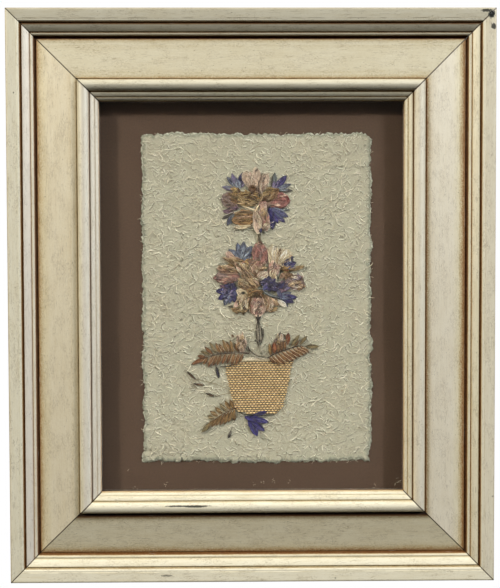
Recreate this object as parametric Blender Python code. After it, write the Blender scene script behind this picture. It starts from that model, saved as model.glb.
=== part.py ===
"""A pressed flower picture in its glazed and antiqued wooden frame, at its real size.

The picture faces -Y, +X is to the viewer's right and +Z is up. Y = 0 is the wall, and the origin is the
middle notch of the hanger, where a nail carries the frame. Two measures are used throughout: a height is
taken off the back of the moulding towards the viewer, and a place (x, z) is taken from the frame's centre.
"""

import math
import random

import bmesh
import bpy
from mathutils import Matrix, Vector

MM = 0.001

# The frame: it is cut for a standard 11 x 14 inch pane.
GLASS_WIDTH = 279.4 * MM
GLASS_HEIGHT = 355.6 * MM
GLASS_COVER = 6.0 * MM  # how far the lip reaches over the pane on each side
MOULDING_WIDTH = 80.0 * MM
SIGHT_WIDTH = GLASS_WIDTH - 2 * GLASS_COVER
SIGHT_HEIGHT = GLASS_HEIGHT - 2 * GLASS_COVER
OUTER_WIDTH = SIGHT_WIDTH + 2 * MOULDING_WIDTH
OUTER_HEIGHT = SIGHT_HEIGHT + 2 * MOULDING_WIDTH
MITRE_GAP = 0.3 * MM
GAP = 0.3 * MM  # between pieces that touch

# The moulding's section: depth in from the outer edge, height off its back, both in millimetres.
RABBET_WALL = 73.3
RABBET_TOP = 18.0

# What lies in the rabbet, by the height of its back face.
GLASS_THICKNESS = 2.0 * MM
GLASS_BACK = 15.7 * MM
SPACER_WIDTH = 5.4 * MM
SPACER_BACK = 10.4 * MM
SPACER_THICKNESS = 5.0 * MM
BOARD_THICKNESS = 1.5 * MM
BOARD_BACK = 8.6 * MM
BACKING_THICKNESS = 3.0 * MM
BACKING_BACK = 5.3 * MM
POINT_THICKNESS = 0.6 * MM
POINT_BACK = 4.4 * MM
POINT_LENGTH = 16.0 * MM
POINT_WIDTH = 9.0 * MM
POINT_DRIVEN = 8.0 * MM  # the part of a point that is pushed into the wood
POINT_SHOULDER = 1.5 * MM  # its blade is full width from this far into the wood
POINT_NOSE = 2.0 * MM
LOOSE_FIT = 0.3 * MM  # the boards and spacers are this much smaller than the pane on each side

# The hanger, nailless, on the back of the top rail.
HANGER_WIDTH = 46.0 * MM
HANGER_RISE = 8.0 * MM  # from the notches to its top edge
HANGER_THICKNESS = 0.9 * MM
HANGER_STANDOFF = HANGER_THICKNESS + GAP  # from the wall to the back of the moulding
HANGER_TOOTH = 2.0 * MM
HANGER_TEETH = 6
HANGER_TOOTHED_SHARE = 0.6  # of its width
HANGER_CHAMFER = 1.5 * MM
HANGER_DROP = 30.0 * MM  # from the frame's top edge down to the notches
PRONG_WIDTH = 3.0 * MM
PRONG_LENGTH = 6.0 * MM
PRONG_SPACING = 38.0 * MM
CENTRE_Z = HANGER_DROP - OUTER_HEIGHT / 2

# The handmade sheet and what is laid on it, in places taken from the picture's own middle.
PICTURE_CENTRE = (-0.6, 0.7)
SHEET_CENTRE = (4.9, -2.1)
SHEET_SIZE = (204.0, 292.5)
SHEET_BACK = BOARD_BACK + BOARD_THICKNESS + GAP
SHEET_THICKNESS = 0.9 * MM
PRESSED_THICKNESS = 0.25 * MM
FIRST_LAYER = SHEET_BACK + SHEET_THICKNESS + GAP
LAYER_STEP = PRESSED_THICKNESS + GAP

# The woven pot, from its corners in millimetres.
POT_THICKNESS = 0.75 * MM
POT_RIDGE = 0.4 * MM
POT_ROWS = 24
POT_TOP = -56.6
POT_FOOT = -105.0
POT_CUTS = (
    ((-24.0, -62.0), (-14.6, -104.0)),
    ((-14.6, -102.4), (21.0, -105.2)),
    ((21.0, -105.2), (28.0, -99.0)),
    ((28.0, -99.0), (38.2, -56.6)),
    ((-11.0, -56.6), (-24.0, -62.4)),
)

parts = bpy.data.collections.new("pressed flower frame")
cutters = bpy.data.collections.new("cutters")


# ---------------------------------------------------------------- small helpers


def clear_scene():
    for old in list(bpy.data.objects):
        bpy.data.objects.remove(old, do_unlink=True)
    for collection in (parts, cutters):
        bpy.context.scene.collection.children.link(collection)


def spot(x, z, height):
    """The point at a place (metres from the frame's centre) and a height off the moulding's back."""
    return Vector((x, -(HANGER_STANDOFF + height), CENTRE_Z + z))


def on_picture(x, z, height):
    """The point at a place in millimetres from the picture's middle."""
    return spot((PICTURE_CENTRE[0] + x) * MM, (PICTURE_CENTRE[1] + z) * MM, height)


def linear(channel):
    share = channel / 255
    return share / 12.92 if share <= 0.04045 else ((share + 0.055) / 1.055) ** 2.4


def finish(obj, colour, roughness=0.6, metallic=0.0, alpha=1.0):
    """Gives obj its own material, with colour in 0 to 255 as it shows in a photograph."""
    material = bpy.data.materials.new(obj.name)
    material.use_nodes = True
    shader = material.node_tree.nodes["Principled BSDF"]
    shader.inputs["Base Color"].default_value = (*[linear(c) for c in colour], 1.0)
    shader.inputs["Roughness"].default_value = roughness
    shader.inputs["Metallic"].default_value = metallic
    shader.inputs["Alpha"].default_value = alpha
    obj.data.materials.clear()
    obj.data.materials.append(material)
    return obj


def box(name, size, centre, collection=parts):
    bpy.ops.mesh.primitive_cube_add(size=1.0, location=centre)
    cube = bpy.context.object
    cube.name = name
    cube.data.transform(Matrix.Diagonal((*size, 1.0)))
    for old in list(cube.users_collection):
        old.objects.unlink(cube)
    collection.objects.link(cube)
    return cube


def hide_cutter(obj):
    obj.hide_render = True
    obj.display_type = "WIRE"
    return obj


def boolean(obj, tool, operation="DIFFERENCE"):
    modifier = obj.modifiers.new(tool.name, "BOOLEAN")
    modifier.operation = operation
    modifier.solver = "EXACT"
    modifier.object = tool


def outline_curve(name, outline, thickness):
    """A flat plate of this outline (metres) in the local XY plane, with thickness along local Z."""
    curve = bpy.data.curves.new(name, "CURVE")
    curve.dimensions = "2D"
    curve.fill_mode = "BOTH"
    curve.extrude = thickness / 2
    spline = curve.splines.new("POLY")
    spline.points.add(len(outline) - 1)
    for point, (u, v) in zip(spline.points, outline):
        point.co = (u, v, 0.0, 1.0)
    spline.use_cyclic_u = True
    plate = bpy.data.objects.new(name, curve)
    parts.objects.link(plate)
    return plate


def as_mesh(obj):
    """Turns a curve object into a mesh object of the same name, with its caps welded on."""
    bpy.context.view_layer.update()
    evaluated = obj.evaluated_get(bpy.context.evaluated_depsgraph_get())
    mesh = bpy.data.meshes.new_from_object(evaluated)
    bm = bmesh.new()
    bm.from_mesh(mesh)
    bmesh.ops.remove_doubles(bm, verts=bm.verts, dist=0.00001)
    bmesh.ops.recalc_face_normals(bm, faces=bm.faces)
    bm.to_mesh(mesh)
    bm.free()
    name, matrix = obj.name, obj.matrix_world.copy()
    bpy.data.objects.remove(obj, do_unlink=True)
    solid = bpy.data.objects.new(name, mesh)
    solid.matrix_world = matrix
    parts.objects.link(solid)
    return solid


def saw(mesh, point, normal):
    """Cuts a closed mesh with a plane, throws away the side that normal points to and closes the cut."""
    bm = bmesh.new()
    bm.from_mesh(mesh)
    everything = bm.verts[:] + bm.edges[:] + bm.faces[:]
    cut = bmesh.ops.bisect_plane(
        bm, geom=everything, dist=0.000001, plane_co=point, plane_no=normal, clear_outer=True
    )
    rim = [e for e in cut["geom_cut"] if isinstance(e, bmesh.types.BMEdge)]
    bmesh.ops.edgeloop_fill(bm, edges=rim)
    bmesh.ops.recalc_face_normals(bm, faces=bm.faces)
    bm.to_mesh(mesh)
    bm.free()


# ---------------------------------------------------------------- the moulding


def bow(start, end, rise, steps):
    """Points after start up to end, on a curve that stands proud of the straight line by rise."""
    (d0, h0), (d1, h1) = start, end
    length = math.hypot(d1 - d0, h1 - h0)
    across = (-(h1 - h0) / length, (d1 - d0) / length)
    points = []
    for step in range(1, steps + 1):
        share = step / steps
        lift = 4 * rise * share * (1 - share)
        points.append((d0 + (d1 - d0) * share + across[0] * lift, h0 + (h1 - h0) * share + across[1] * lift))
    return points


def moulding_section():
    """The moulding's section, from the back outer corner over its face to the rabbet, in millimetres."""
    section = [(0.0, 0.0), (0.0, 23.2)]
    section += bow((0.0, 23.2), (1.0, 24.4), 0.2, 2) + [(9.2, 23.4)]  # rim, which leans in a little
    section += [(9.4, 23.2)] + bow((9.4, 23.2), (11.6, 21.9), 0.6, 3)  # its rounded inner edge
    section += [(11.8, 20.9), (13.6, 20.9), (13.8, 22.1)]  # first groove
    section += bow((13.8, 22.1), (19.6, 18.9), 0.35, 3) + [(19.7, 18.4), (20.4, 18.4)]  # sloping band
    section += bow((20.4, 18.4), (22.8, 17.3), 0.7, 4)  # small bead
    section += [(22.9, 15.6), (25.1, 15.6), (25.3, 16.4)]  # deep groove
    section += [(60.9, 24.3), (61.0, 23.7), (62.3, 23.7), (62.4, 26.3)]  # broad panel and its groove
    section += bow((62.4, 26.3), (67.4, 29.5), 0.9, 4) + bow((67.4, 29.5), (72.3, 26.0), 0.9, 4)  # big bead
    section += [(72.4, 25.1), (73.2, 25.1), (73.4, 25.8)]
    section += bow((73.4, 25.8), (76.9, 24.0), 0.3, 3) + [(77.1, 23.5), (77.4, 23.7)]  # stepped lip
    section += bow((77.4, 23.7), (80.0, 21.5), 0.35, 3)
    section += [(80.0, RABBET_TOP), (RABBET_WALL, RABBET_TOP), (RABBET_WALL, 0.0)]
    return [(depth * MM, height * MM) for depth, height in section]


def rail(name, half_length, centre_to_edge, turn):
    """One mitred rail. It is made as the bottom rail and turned round the frame's centre."""
    blank = outline_curve(name, moulding_section(), 2 * half_length)
    solid = as_mesh(blank)
    # Section depth runs up from the lower edge, section height towards the viewer, length along X.
    lay_down = Matrix(((0, 0, 1, 0), (0, -1, 0, -HANGER_STANDOFF), (1, 0, 0, -centre_to_edge), (0, 0, 0, 1)))
    solid.data.transform(lay_down)
    for side in (-1, 1):
        corner = Vector((side * (half_length - MITRE_GAP * math.sqrt(0.5)), 0.0, -centre_to_edge))
        saw(solid.data, corner, Vector((side, 0.0, 1.0)).normalized())
    solid.location = (0.0, 0.0, CENTRE_Z)
    solid.rotation_euler = (0.0, turn, 0.0)
    solid.data.shade_smooth()
    solid.data.set_sharp_from_angle(angle=math.radians(24))
    return finish(solid, (205, 196, 168), 0.45)


def make_moulding():
    wide, tall = OUTER_WIDTH / 2, OUTER_HEIGHT / 2
    return {
        "rail_bottom": rail("rail_bottom", wide, tall, 0.0),
        "rail_left": rail("rail_left", tall, wide, math.radians(90)),
        "rail_top": rail("rail_top", wide, tall, math.radians(180)),
        "rail_right": rail("rail_right", tall, wide, math.radians(270)),
    }


# ---------------------------------------------------------------- what lies in the rabbet


def pane(name, width, height, back, thickness, colour, roughness, alpha=1.0):
    centre = spot(0.0, 0.0, back + thickness / 2)
    return finish(box(name, (width, thickness, height), centre), colour, roughness, alpha=alpha)


def make_package():
    pane("glass", GLASS_WIDTH, GLASS_HEIGHT, GLASS_BACK, GLASS_THICKNESS, (225, 235, 230), 0.02, 0.15)
    board_size = (GLASS_WIDTH - 2 * LOOSE_FIT, GLASS_HEIGHT - 2 * LOOSE_FIT)
    pane("mount_board", *board_size, BOARD_BACK, BOARD_THICKNESS, (91, 75, 61), 0.9)
    pane("backing_board", *board_size, BACKING_BACK, BACKING_THICKNESS, (126, 92, 60), 0.85)


def make_spacers():
    """Four strips round the rim of the board, which hold the pane clear of the flowers."""
    across = GLASS_WIDTH - 2 * LOOSE_FIT
    tall = GLASS_HEIGHT - 2 * LOOSE_FIT
    height = SPACER_BACK + SPACER_THICKNESS / 2
    for side, name in ((-1, "spacer_left"), (1, "spacer_right")):
        centre = spot(side * (across - SPACER_WIDTH) / 2, 0.0, height)
        finish(box(name, (SPACER_WIDTH, SPACER_THICKNESS, tall), centre), (52, 42, 35), 0.9)
    short = across - 2 * SPACER_WIDTH - 2 * GAP
    for side, name in ((-1, "spacer_bottom"), (1, "spacer_top")):
        centre = spot(0.0, side * (tall - SPACER_WIDTH) / 2, height)
        finish(box(name, (short, SPACER_THICKNESS, SPACER_WIDTH), centre), (52, 42, 35), 0.9)


def make_points(rails):
    """One steel point in the middle of each rail, half of it in a slot in the wood behind the backing."""
    half = POINT_WIDTH / 2
    reach = POINT_LENGTH - POINT_DRIVEN
    outline = [(-POINT_DRIVEN, 0.0), (-POINT_SHOULDER, -half), (reach - POINT_NOSE, -half), (reach, 0.0)]
    outline += [(reach - POINT_NOSE, half), (-POINT_SHOULDER, half)]
    wall_x = OUTER_WIDTH / 2 - RABBET_WALL * MM
    wall_z = OUTER_HEIGHT / 2 - RABBET_WALL * MM
    slot_size = (2 * POINT_DRIVEN + 2 * GAP, POINT_THICKNESS + 2 * GAP, POINT_WIDTH + 2 * GAP)
    walls = [("left", -wall_x, 0.0, 0), ("right", wall_x, 0.0, 180)]
    walls += [("bottom", 0.0, -wall_z, 90), ("top", 0.0, wall_z, 270)]
    for side, x, z, turn in walls:
        centre = spot(x, z, POINT_BACK + POINT_THICKNESS / 2)
        point = outline_curve(f"point_{side}", outline, POINT_THICKNESS)
        point.location = centre
        point.rotation_euler = (math.radians(90), math.radians(-turn), 0.0)
        finish(point, (150, 150, 148), 0.35, 1.0)
        slot = hide_cutter(box(f"slot_{side}", slot_size, centre, cutters))
        slot.rotation_euler = (0.0, math.radians(-turn), 0.0)
        boolean(rails[f"rail_{side}"], slot)


def make_hanger(top_rail):
    """A toothed plate with a prong at each end that is pressed into the wood."""
    half = HANGER_WIDTH / 2
    teeth_half = HANGER_TOOTHED_SHARE * half
    pitch = 2 * teeth_half / HANGER_TEETH
    teeth = []
    for tooth in range(HANGER_TEETH):
        left = -teeth_half + tooth * pitch
        teeth += [(left, 0.0), (left + pitch / 2, -HANGER_TOOTH)]
    teeth.append((teeth_half, 0.0))
    inner = half - HANGER_CHAMFER
    ends = [(teeth_half + HANGER_CHAMFER, -HANGER_TOOTH), (inner, -HANGER_TOOTH)]
    ends += [(half, HANGER_CHAMFER - HANGER_TOOTH), (half, HANGER_RISE - HANGER_CHAMFER)]
    ends.append((inner, HANGER_RISE))
    outline = teeth + ends + [(-x, z) for x, z in reversed(ends)]
    plate = outline_curve("hanger", outline, HANGER_THICKNESS)
    plate.location = (0.0, -HANGER_THICKNESS / 2, 0.0)
    plate.rotation_euler = (math.radians(90), 0.0, 0.0)
    plate = as_mesh(plate)
    prong_z = (HANGER_RISE - HANGER_TOOTH) / 2
    for side, name in ((-1, "left"), (1, "right")):
        x = side * PRONG_SPACING / 2
        middle = Vector((x, -HANGER_THICKNESS / 2 - PRONG_LENGTH / 2, prong_z))
        prong = box(f"prong_{name}", (HANGER_THICKNESS, PRONG_LENGTH, PRONG_WIDTH), middle, cutters)
        boolean(plate, hide_cutter(prong), "UNION")
        slot_size = (HANGER_THICKNESS + 2 * GAP, 2 * PRONG_LENGTH, PRONG_WIDTH + 2 * GAP)
        slot = box(f"prong_slot_{name}", slot_size, Vector((x, -HANGER_STANDOFF, prong_z)), cutters)
        boolean(top_rail, hide_cutter(slot))
    finish(plate, (168, 160, 140), 0.35, 1.0)


# ---------------------------------------------------------------- outlines of pressed things, in millimetres


def turned(points, lean):
    """Points turned by lean degrees about their origin."""
    cos, sin = math.cos(math.radians(lean)), math.sin(math.radians(lean))
    return [(u * cos - v * sin, u * sin + v * cos) for u, v in points]


def petal(length, width, lean, belly=1.25, blunt=0.62, steps=8):
    """A petal from its foot at the origin: belly above 1 is widest past the middle, low blunt is rounder."""
    edge = [(0.0, 0.0)]
    for step in range(1, steps):
        share = step / steps
        edge.append((length * share, width / 2 * math.sin(math.pi * share**belly) ** blunt))
    return turned(edge + [(length, 0.0)] + [(u, -v) for u, v in reversed(edge[1:])], lean)


def floret(lobes, heart, valley_share=0.48, rear_steps=4):
    """A fan of pointed lobes from one foot: each is (direction in degrees, length, width), in turning order.

    The lobes part at valley_share of their length, and heart is the radius of the rounded back of the fan.
    """
    outline = []
    last = len(lobes) - 1
    for index, (direction, length, width) in enumerate(lobes):
        shoulder = 0.6 * length
        sides = []
        for neighbour in (index - 1, index + 1):
            apart = abs(lobes[neighbour][0] - direction) if 0 <= neighbour <= last else 90
            widest = shoulder * math.tan(math.radians(min(0.42 * apart, 60)))
            sides.append(min(width / 2, widest))
        blade = [(shoulder, -sides[0]), (0.82 * length, -0.6 * sides[0]), (length, 0.0)]
        blade += [(0.82 * length, 0.6 * sides[1]), (shoulder, sides[1])]
        outline += turned(blade, direction)
        if index < last:
            following = lobes[index + 1]
            valley = valley_share * min(length, following[1])
            outline += turned([(valley, 0.0)], (direction + following[0]) / 2)
    spread = 360 - (lobes[-1][0] - lobes[0][0])
    for step in range(1, rear_steps + 1):
        outline += turned([(heart, 0.0)], lobes[-1][0] + spread * step / (rear_steps + 1))
    return outline


def along(spine, share):
    """The point and direction at a share of the way along a line of points."""
    lengths = [math.dist(a, b) for a, b in zip(spine, spine[1:])]
    left = share * sum(lengths)
    for (a, b), length in zip(zip(spine, spine[1:]), lengths):
        if left <= length or (a, b) == (spine[-2], spine[-1]):
            part = left / length
            point = (a[0] + (b[0] - a[0]) * part, a[1] + (b[1] - a[1]) * part)
            return point, math.degrees(math.atan2(b[1] - a[1], b[0] - a[0]))
        left -= length
    raise ValueError("a share runs from 0 to 1")


def leaflet(spine, share, side, length, width, heading, foot=0.4):
    """One leaflet's edge as it is met going along the spine, on its left (side 1) or its right (side -1)."""
    x, z = along(spine, share)[0]
    half = side * width / 2
    foot_half = side * foot
    blade = [(foot, foot_half), (0.45 * length, half), (0.8 * length, 0.6 * half), (length, 0.0)]
    blade += [(0.8 * length, -0.6 * half), (0.45 * length, -half), (foot, -foot_half)]
    return [(x + u, z + v) for u, v in turned(blade, heading)]


def leaflets(spine, side, count, first, last, length, width, heading_first, heading_last):
    """A row of leaflets between two shares of the spine, whose headings turn steadily from first to last."""
    row = []
    for index in range(count):
        part = index / (count - 1)
        share = first + (last - first) * part
        heading = heading_first + (heading_last - heading_first) * part
        row.append(leaflet(spine, share, side, length * (1 + 0.1 * math.sin(2.3 * index)), width, heading))
    return row


def sprig(spine, left, right, tip_length, tip_width):
    """A leafy twig in one outline, from its rows of leaflets and the leaf at its tip."""
    outline = [point for blade in left for point in blade]
    (x, z), heading = along(spine, 1.0)
    blade = [(0.0, -0.5), (0.4 * tip_length, -tip_width / 2), (0.75 * tip_length, -0.35 * tip_width)]
    blade += [(tip_length, 0.0)] + [(u, -v) for u, v in reversed(blade)]
    outline += [(x + u, z + v) for u, v in reversed(turned(blade, heading))]
    for blade in reversed(right):
        outline += reversed(blade)
    (x, z), heading = along(spine, 0.0)
    return outline + [(x + u, z + v) for u, v in turned([(0.0, -0.5), (0.0, 0.5)], heading)]


def deckle(width, height, step=6.0, depth=1.5):
    """A torn rectangle round the origin: its sides wander, with ragged nicks."""
    draw = random.Random(11)
    corners = [(u * width / 2, v * height / 2) for u, v in ((-1, -1), (1, -1), (1, 1), (-1, 1))]
    outline = []
    for index, (x0, z0) in enumerate(corners):
        x1, z1 = corners[(index + 1) % 4]
        length = math.hypot(x1 - x0, z1 - z0)
        count = round(length / step)
        inward = (-(z1 - z0) / length, (x1 - x0) / length)
        for part in range(count):
            share = part / count
            nick = depth * (0.5 + 0.3 * math.sin(length * share / 11 + index) + 0.5 * (draw.random() - 0.5))
            nick += depth if part == 0 else 0.0
            x, z = x0 + (x1 - x0) * share, z0 + (z1 - z0) * share
            outline.append((x + inward[0] * nick, z + inward[1] * nick))
    return outline


# ---------------------------------------------------------------- the sheet, the pot and the flowers


def lay(name, outline, at=(0.0, 0.0), layer=0, colour=(150, 120, 100), thickness=PRESSED_THICKNESS):
    """Lays a flat pressed piece (outline and place in millimetres) on a layer above the sheet."""
    plate = outline_curve(name, [(u * MM, v * MM) for u, v in outline], thickness)
    plate.location = on_picture(*at, FIRST_LAYER + layer * LAYER_STEP + thickness / 2)
    plate.rotation_euler = (math.radians(90), 0.0, 0.0)
    return finish(plate, colour, 0.75)


def make_sheet():
    outline = [(u * MM, v * MM) for u, v in deckle(*SHEET_SIZE)]
    sheet = outline_curve("paper_sheet", outline, SHEET_THICKNESS)
    sheet.location = on_picture(*SHEET_CENTRE, SHEET_BACK + SHEET_THICKNESS / 2)
    sheet.rotation_euler = (math.radians(90), 0.0, 0.0)
    finish(sheet, (196, 189, 164), 0.95)


def make_pot():
    """The pot is one patch of coarse cloth. Its rows of weft stand up as ridges."""
    pitch = (POT_TOP - POT_FOOT) * MM / POT_ROWS
    section = [(0.0, 0.0)]
    for row in range(POT_ROWS):
        foot = POT_THICKNESS - POT_RIDGE
        section += [(row * pitch + 0.06 * pitch, foot), (row * pitch + 0.3 * pitch, POT_THICKNESS)]
        section += [(row * pitch + 0.7 * pitch, POT_THICKNESS), (row * pitch + 0.94 * pitch, foot)]
    section.append((POT_ROWS * pitch, 0.0))
    left, right = POT_CUTS[0][0][0] * MM, POT_CUTS[3][1][0] * MM
    pot = as_mesh(outline_curve("pot_cloth", section, right - left))
    # Section length runs up the pot, section height towards the viewer, and the ridges run along X.
    centre_x = (left + right) / 2
    stand_up = Matrix(((0, 0, 1, centre_x), (0, -1, 0, 0), (1, 0, 0, POT_FOOT * MM), (0, 0, 0, 1)))
    pot.data.transform(stand_up)
    for (x0, z0), (x1, z1) in POT_CUTS:
        outward = Vector((-(z0 - z1), 0.0, x0 - x1)).normalized()
        saw(pot.data, Vector((x0 * MM, 0.0, z0 * MM)), outward)
    pot.location = on_picture(0.0, 0.0, FIRST_LAYER)
    finish(pot, (196, 160, 112), 0.9)


GREY_BLUE = (95, 98, 108)
VIOLET = (58, 48, 92)
PALE_PINK = (172, 150, 134)
ROSE = (148, 106, 100)
TAN = (150, 122, 88)
OLIVE = (126, 102, 70)
CREAM = (190, 176, 146)
MAUVE = (126, 106, 104)
LEAF_RED = (112, 78, 58)
LEAF_TAN = (140, 110, 78)
DARK = (84, 76, 70)


def make_top_ball():
    grey = [(76, 13.6, 3.6), (112, 13.8, 3.4), (140, 14.2, 3.4), (178, 14.4, 3.4)]
    lay("top_floret_grey", floret(grey, 5.5), (-10.8, 95.7), 0, GREY_BLUE)
    violet = [(1, 14.9, 3.6), (25, 15.1, 4.4), (55, 16.1, 5.6), (91, 15.1, 5.2)]
    lay("top_floret_violet", floret(violet, 4.5), (21.3, 93.2), 0, VIOLET)
    indigo = [(272, 17.5, 5.0), (293, 13.7, 3.4), (315, 16.2, 4.9), (337, 15.9, 4.4), (359, 16.3, 2.8)]
    lay("top_floret_indigo", floret(indigo, 4.0), (18.6, 76.4), 0, VIOLET)
    slate = [(188, 9.2, 3.2), (234, 9.0, 4.4)]
    lay("top_floret_slate", floret(slate, 4.0), (-16.1, 70.3), 0, DARK)
    lay("top_petal_pink_left", petal(17.0, 12.0, 109, 1.3, 0.55), (1.6, 94.4), 1, PALE_PINK)
    lay("top_petal_pink_right", petal(18.4, 10.6, 68, 1.3, 0.55), (9.4, 90.9), 1, PALE_PINK)
    lay("top_petal_rose", petal(21.0, 15.6, -5, 1.4, 0.5), (13.6, 86.1), 1, ROSE)
    lay("top_petal_pink_middle", petal(28.0, 13.0, 91, 1.4, 0.5), (5.3, 84.8), 2, PALE_PINK)
    lay("top_petal_mauve", petal(17.0, 16.0, -168, 1.2, 0.45), (-9.3, 86.5), 2, MAUVE)
    lay("top_petal_orange", petal(21.0, 15.6, -175, 0.9, 0.45), (4.9, 70.6), 2, TAN)
    lay("top_petal_olive_left", petal(24.0, 16.6, 170, 0.95, 0.45), (6.2, 83.4), 3, OLIVE)
    lay("top_petal_olive_right", petal(20.0, 14.4, 14, 1.0, 0.5), (7.2, 83.6), 3, OLIVE)
    lay("top_petal_pink_lower", petal(29.0, 14.6, -83, 1.2, 0.5), (7.2, 85.4), 4, PALE_PINK)


def make_middle_ball():
    grey = [(42, 14.1, 5.6), (73, 13.8, 4.6), (104, 12.6, 4.4), (144, 11.8, 5.3)]
    lay("middle_floret_grey", floret(grey, 6.5), (-10.0, 34.8), 0, GREY_BLUE)
    navy = [(-3, 10.2, 4.8), (32, 9.3, 4.4)]
    lay("middle_floret_navy", floret(navy, 4.0), (29.1, 28.5), 0, VIOLET)
    slate = [(-41, 11.3, 4.8), (-16, 14.5, 4.6), (1, 16.8, 3.4), (16, 15.8, 3.4)]
    lay("middle_floret_slate", floret(slate, 4.0), (21.8, -1.6), 0, GREY_BLUE)
    violet = [(16, 7.0, 4.4), (66, 9.3, 5.0), (117, 9.4, 5.0), (177, 12.5, 6.2)]
    violet += [(211, 12.5, 5.0), (246, 13.6, 5.3), (298, 10.5, 4.9)]
    lay("middle_floret_violet", floret(violet, 5.0), (-19.0, 4.1), 0, VIOLET)
    star = [(17, 16.2, 3.5), (107, 6.0, 3.1), (168, 6.4, 4.0), (232, 7.3, 4.4), (317, 7.9, 4.0)]
    lay("middle_flower_tan", floret(star, 3.0), (30.9, 20.9), 1, TAN)
    lay("middle_petal_rose_upper", petal(27.0, 17.0, 88, 1.5, 0.5), (6.0, 20.0), 1, ROSE)
    lay("middle_petal_rose_left", petal(22.0, 14.6, 178, 1.2, 0.5), (-10.2, 17.8), 1, ROSE)
    lay("middle_petal_violet", petal(18.0, 12.0, 16, 1.1, 0.5), (18.4, 4.8), 1, MAUVE)
    lay("middle_petal_rose_foot", petal(24.0, 18.0, -90, 1.4, 0.5), (5.1, 6.6), 1, ROSE)
    lay("middle_petal_cream_left", petal(16.0, 12.0, 152, 1.1, 0.5), (-2.0, -2.6), 2, CREAM)
    lay("middle_petal_cream_right", petal(25.0, 16.0, 57, 1.4, 0.5), (18.6, 20.6), 2, CREAM)
    lay("middle_petal_mauve", petal(21.0, 14.0, -32, 1.2, 0.5), (28.6, 18.0), 2, MAUVE)
    lay("middle_strap_tan", petal(18.9, 5.6, 139, 0.9, 0.5), (-7.3, 24.1), 2, TAN)
    lay("middle_petal_tan_lower", petal(26.0, 18.0, 196, 1.0, 0.5), (10.2, 13.0), 3, TAN)
    lay("middle_petal_tan_upper", petal(26.0, 17.0, 164, 1.0, 0.5), (10.2, 21.6), 4, TAN)
    lay("middle_petal_pink", petal(18.0, 14.0, 122, 1.2, 0.5), (18.9, 12.5), 5, PALE_PINK)
    indigo = [(-32, 8.6, 5.0), (23, 8.6, 5.8), (86, 8.4, 5.8), (149, 9.4, 5.8), (225, 8.4, 5.0)]
    lay("middle_floret_indigo", floret(indigo, 5.0), (15.3, 9.4), 6, VIOLET)


def make_stems():
    collar = [(5.4, 60.0), (5.9, 54.0), (5.6, 46.2), (8.4, 46.2), (8.1, 54.0), (9.2, 60.0)]
    lay("stem_upper", collar, colour=CREAM)
    neck = [(3.2, -15.0), (4.6, -22.0), (1.8, -33.9), (3.0, -39.5), (5.0, -45.1), (3.4, -55.0)]
    neck += [(9.4, -55.0), (7.4, -45.1), (9.8, -39.5), (11.2, -33.9), (7.2, -22.0), (7.8, -15.0)]
    lay("stem_lower", neck, colour=DARK)


def make_sprigs():
    spine = [(-2.0, -50.4), (-20.2, -50.0), (-38.5, -53.7)]
    under = leaflets(spine, 1, 7, 0.16, 0.95, 8.6, 3.6, 254, 245)
    over = leaflets(spine, -1, 6, 0.14, 0.9, 10.6, 4.0, 108, 134)
    lay("sprig_left", sprig(spine, under, over, 16.5, 5.0), layer=3, colour=LEAF_RED)
    spine = [(14.3, -54.8), (20.7, -51.0), (28.9, -47.7), (42.1, -44.2), (47.1, -44.0)]
    over = leaflets(spine, 1, 6, 0.08, 0.86, 11.0, 3.4, 102, 52)
    under = leaflets(spine, -1, 7, 0.05, 0.9, 11.0, 3.0, -55, -40)
    lay("sprig_right", sprig(spine, over, under, 13.0, 4.2), layer=3, colour=LEAF_RED)
    spine = [(-15.9, -99.6), (-25.7, -104.4), (-34.4, -110.6)]
    under = leaflets(spine, 1, 4, 0.1, 0.76, 11.0, 2.8, 256, 244)
    over = leaflets(spine, -1, 5, 0.08, 0.9, 8.4, 2.8, 128, 150)
    lay("sprig_fallen", sprig(spine, under, over, 15.0, 5.0), layer=3, colour=LEAF_TAN)
    lay("sprig_petal", petal(15.6, 11.0, 97, 1.4, 0.5), (-7.0, -49.2), 4, PALE_PINK)


def make_fallen_pieces():
    lobes = [(-66, 16.5, 6.6), (-35, 14.6, 5.0), (-6, 16.6, 5.0), (23, 14.0, 3.0)]
    lay("fallen_floret", floret(lobes, 3.0), (-2.6, -110.6), 3, VIOLET)
    lay("fallen_leaf", petal(9.8, 3.8, -78, 1.0), (-31.3, -63.2), 0, MAUVE)
    lay("fallen_sliver_high", petal(12.6, 2.0, -43, 1.0, 0.8), (-58.0, -66.3), 0, DARK)
    lay("fallen_sliver_middle", petal(10.4, 2.2, -14, 1.0, 0.8), (-52.4, -78.2), 0, DARK)
    lay("fallen_sliver_low", petal(9.0, 2.2, -17, 1.0, 0.8), (-41.0, -86.6), 0, DARK)
    lay("fallen_seed", petal(7.2, 2.6, -108, 1.3, 0.8), (-18.4, -120.0), 0, DARK)


def main():
    clear_scene()
    rails = make_moulding()
    make_package()
    make_spacers()
    make_points(rails)
    make_hanger(rails["rail_top"])
    make_sheet()
    make_pot()
    make_top_ball()
    make_middle_ball()
    make_stems()
    make_sprigs()
    make_fallen_pieces()


main()
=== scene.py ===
"""The looks of a pressed flower picture in its antiqued frame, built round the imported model.

Lengths are in millimetres up to the last step of each piece. A place (x, z) is taken from the middle of the
frame, and a height h off the back of the moulding towards the viewer, as in the model.
"""

import itertools
import math
import random

import bpy
import numpy as np
from mathutils import Matrix, Vector, noise


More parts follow.
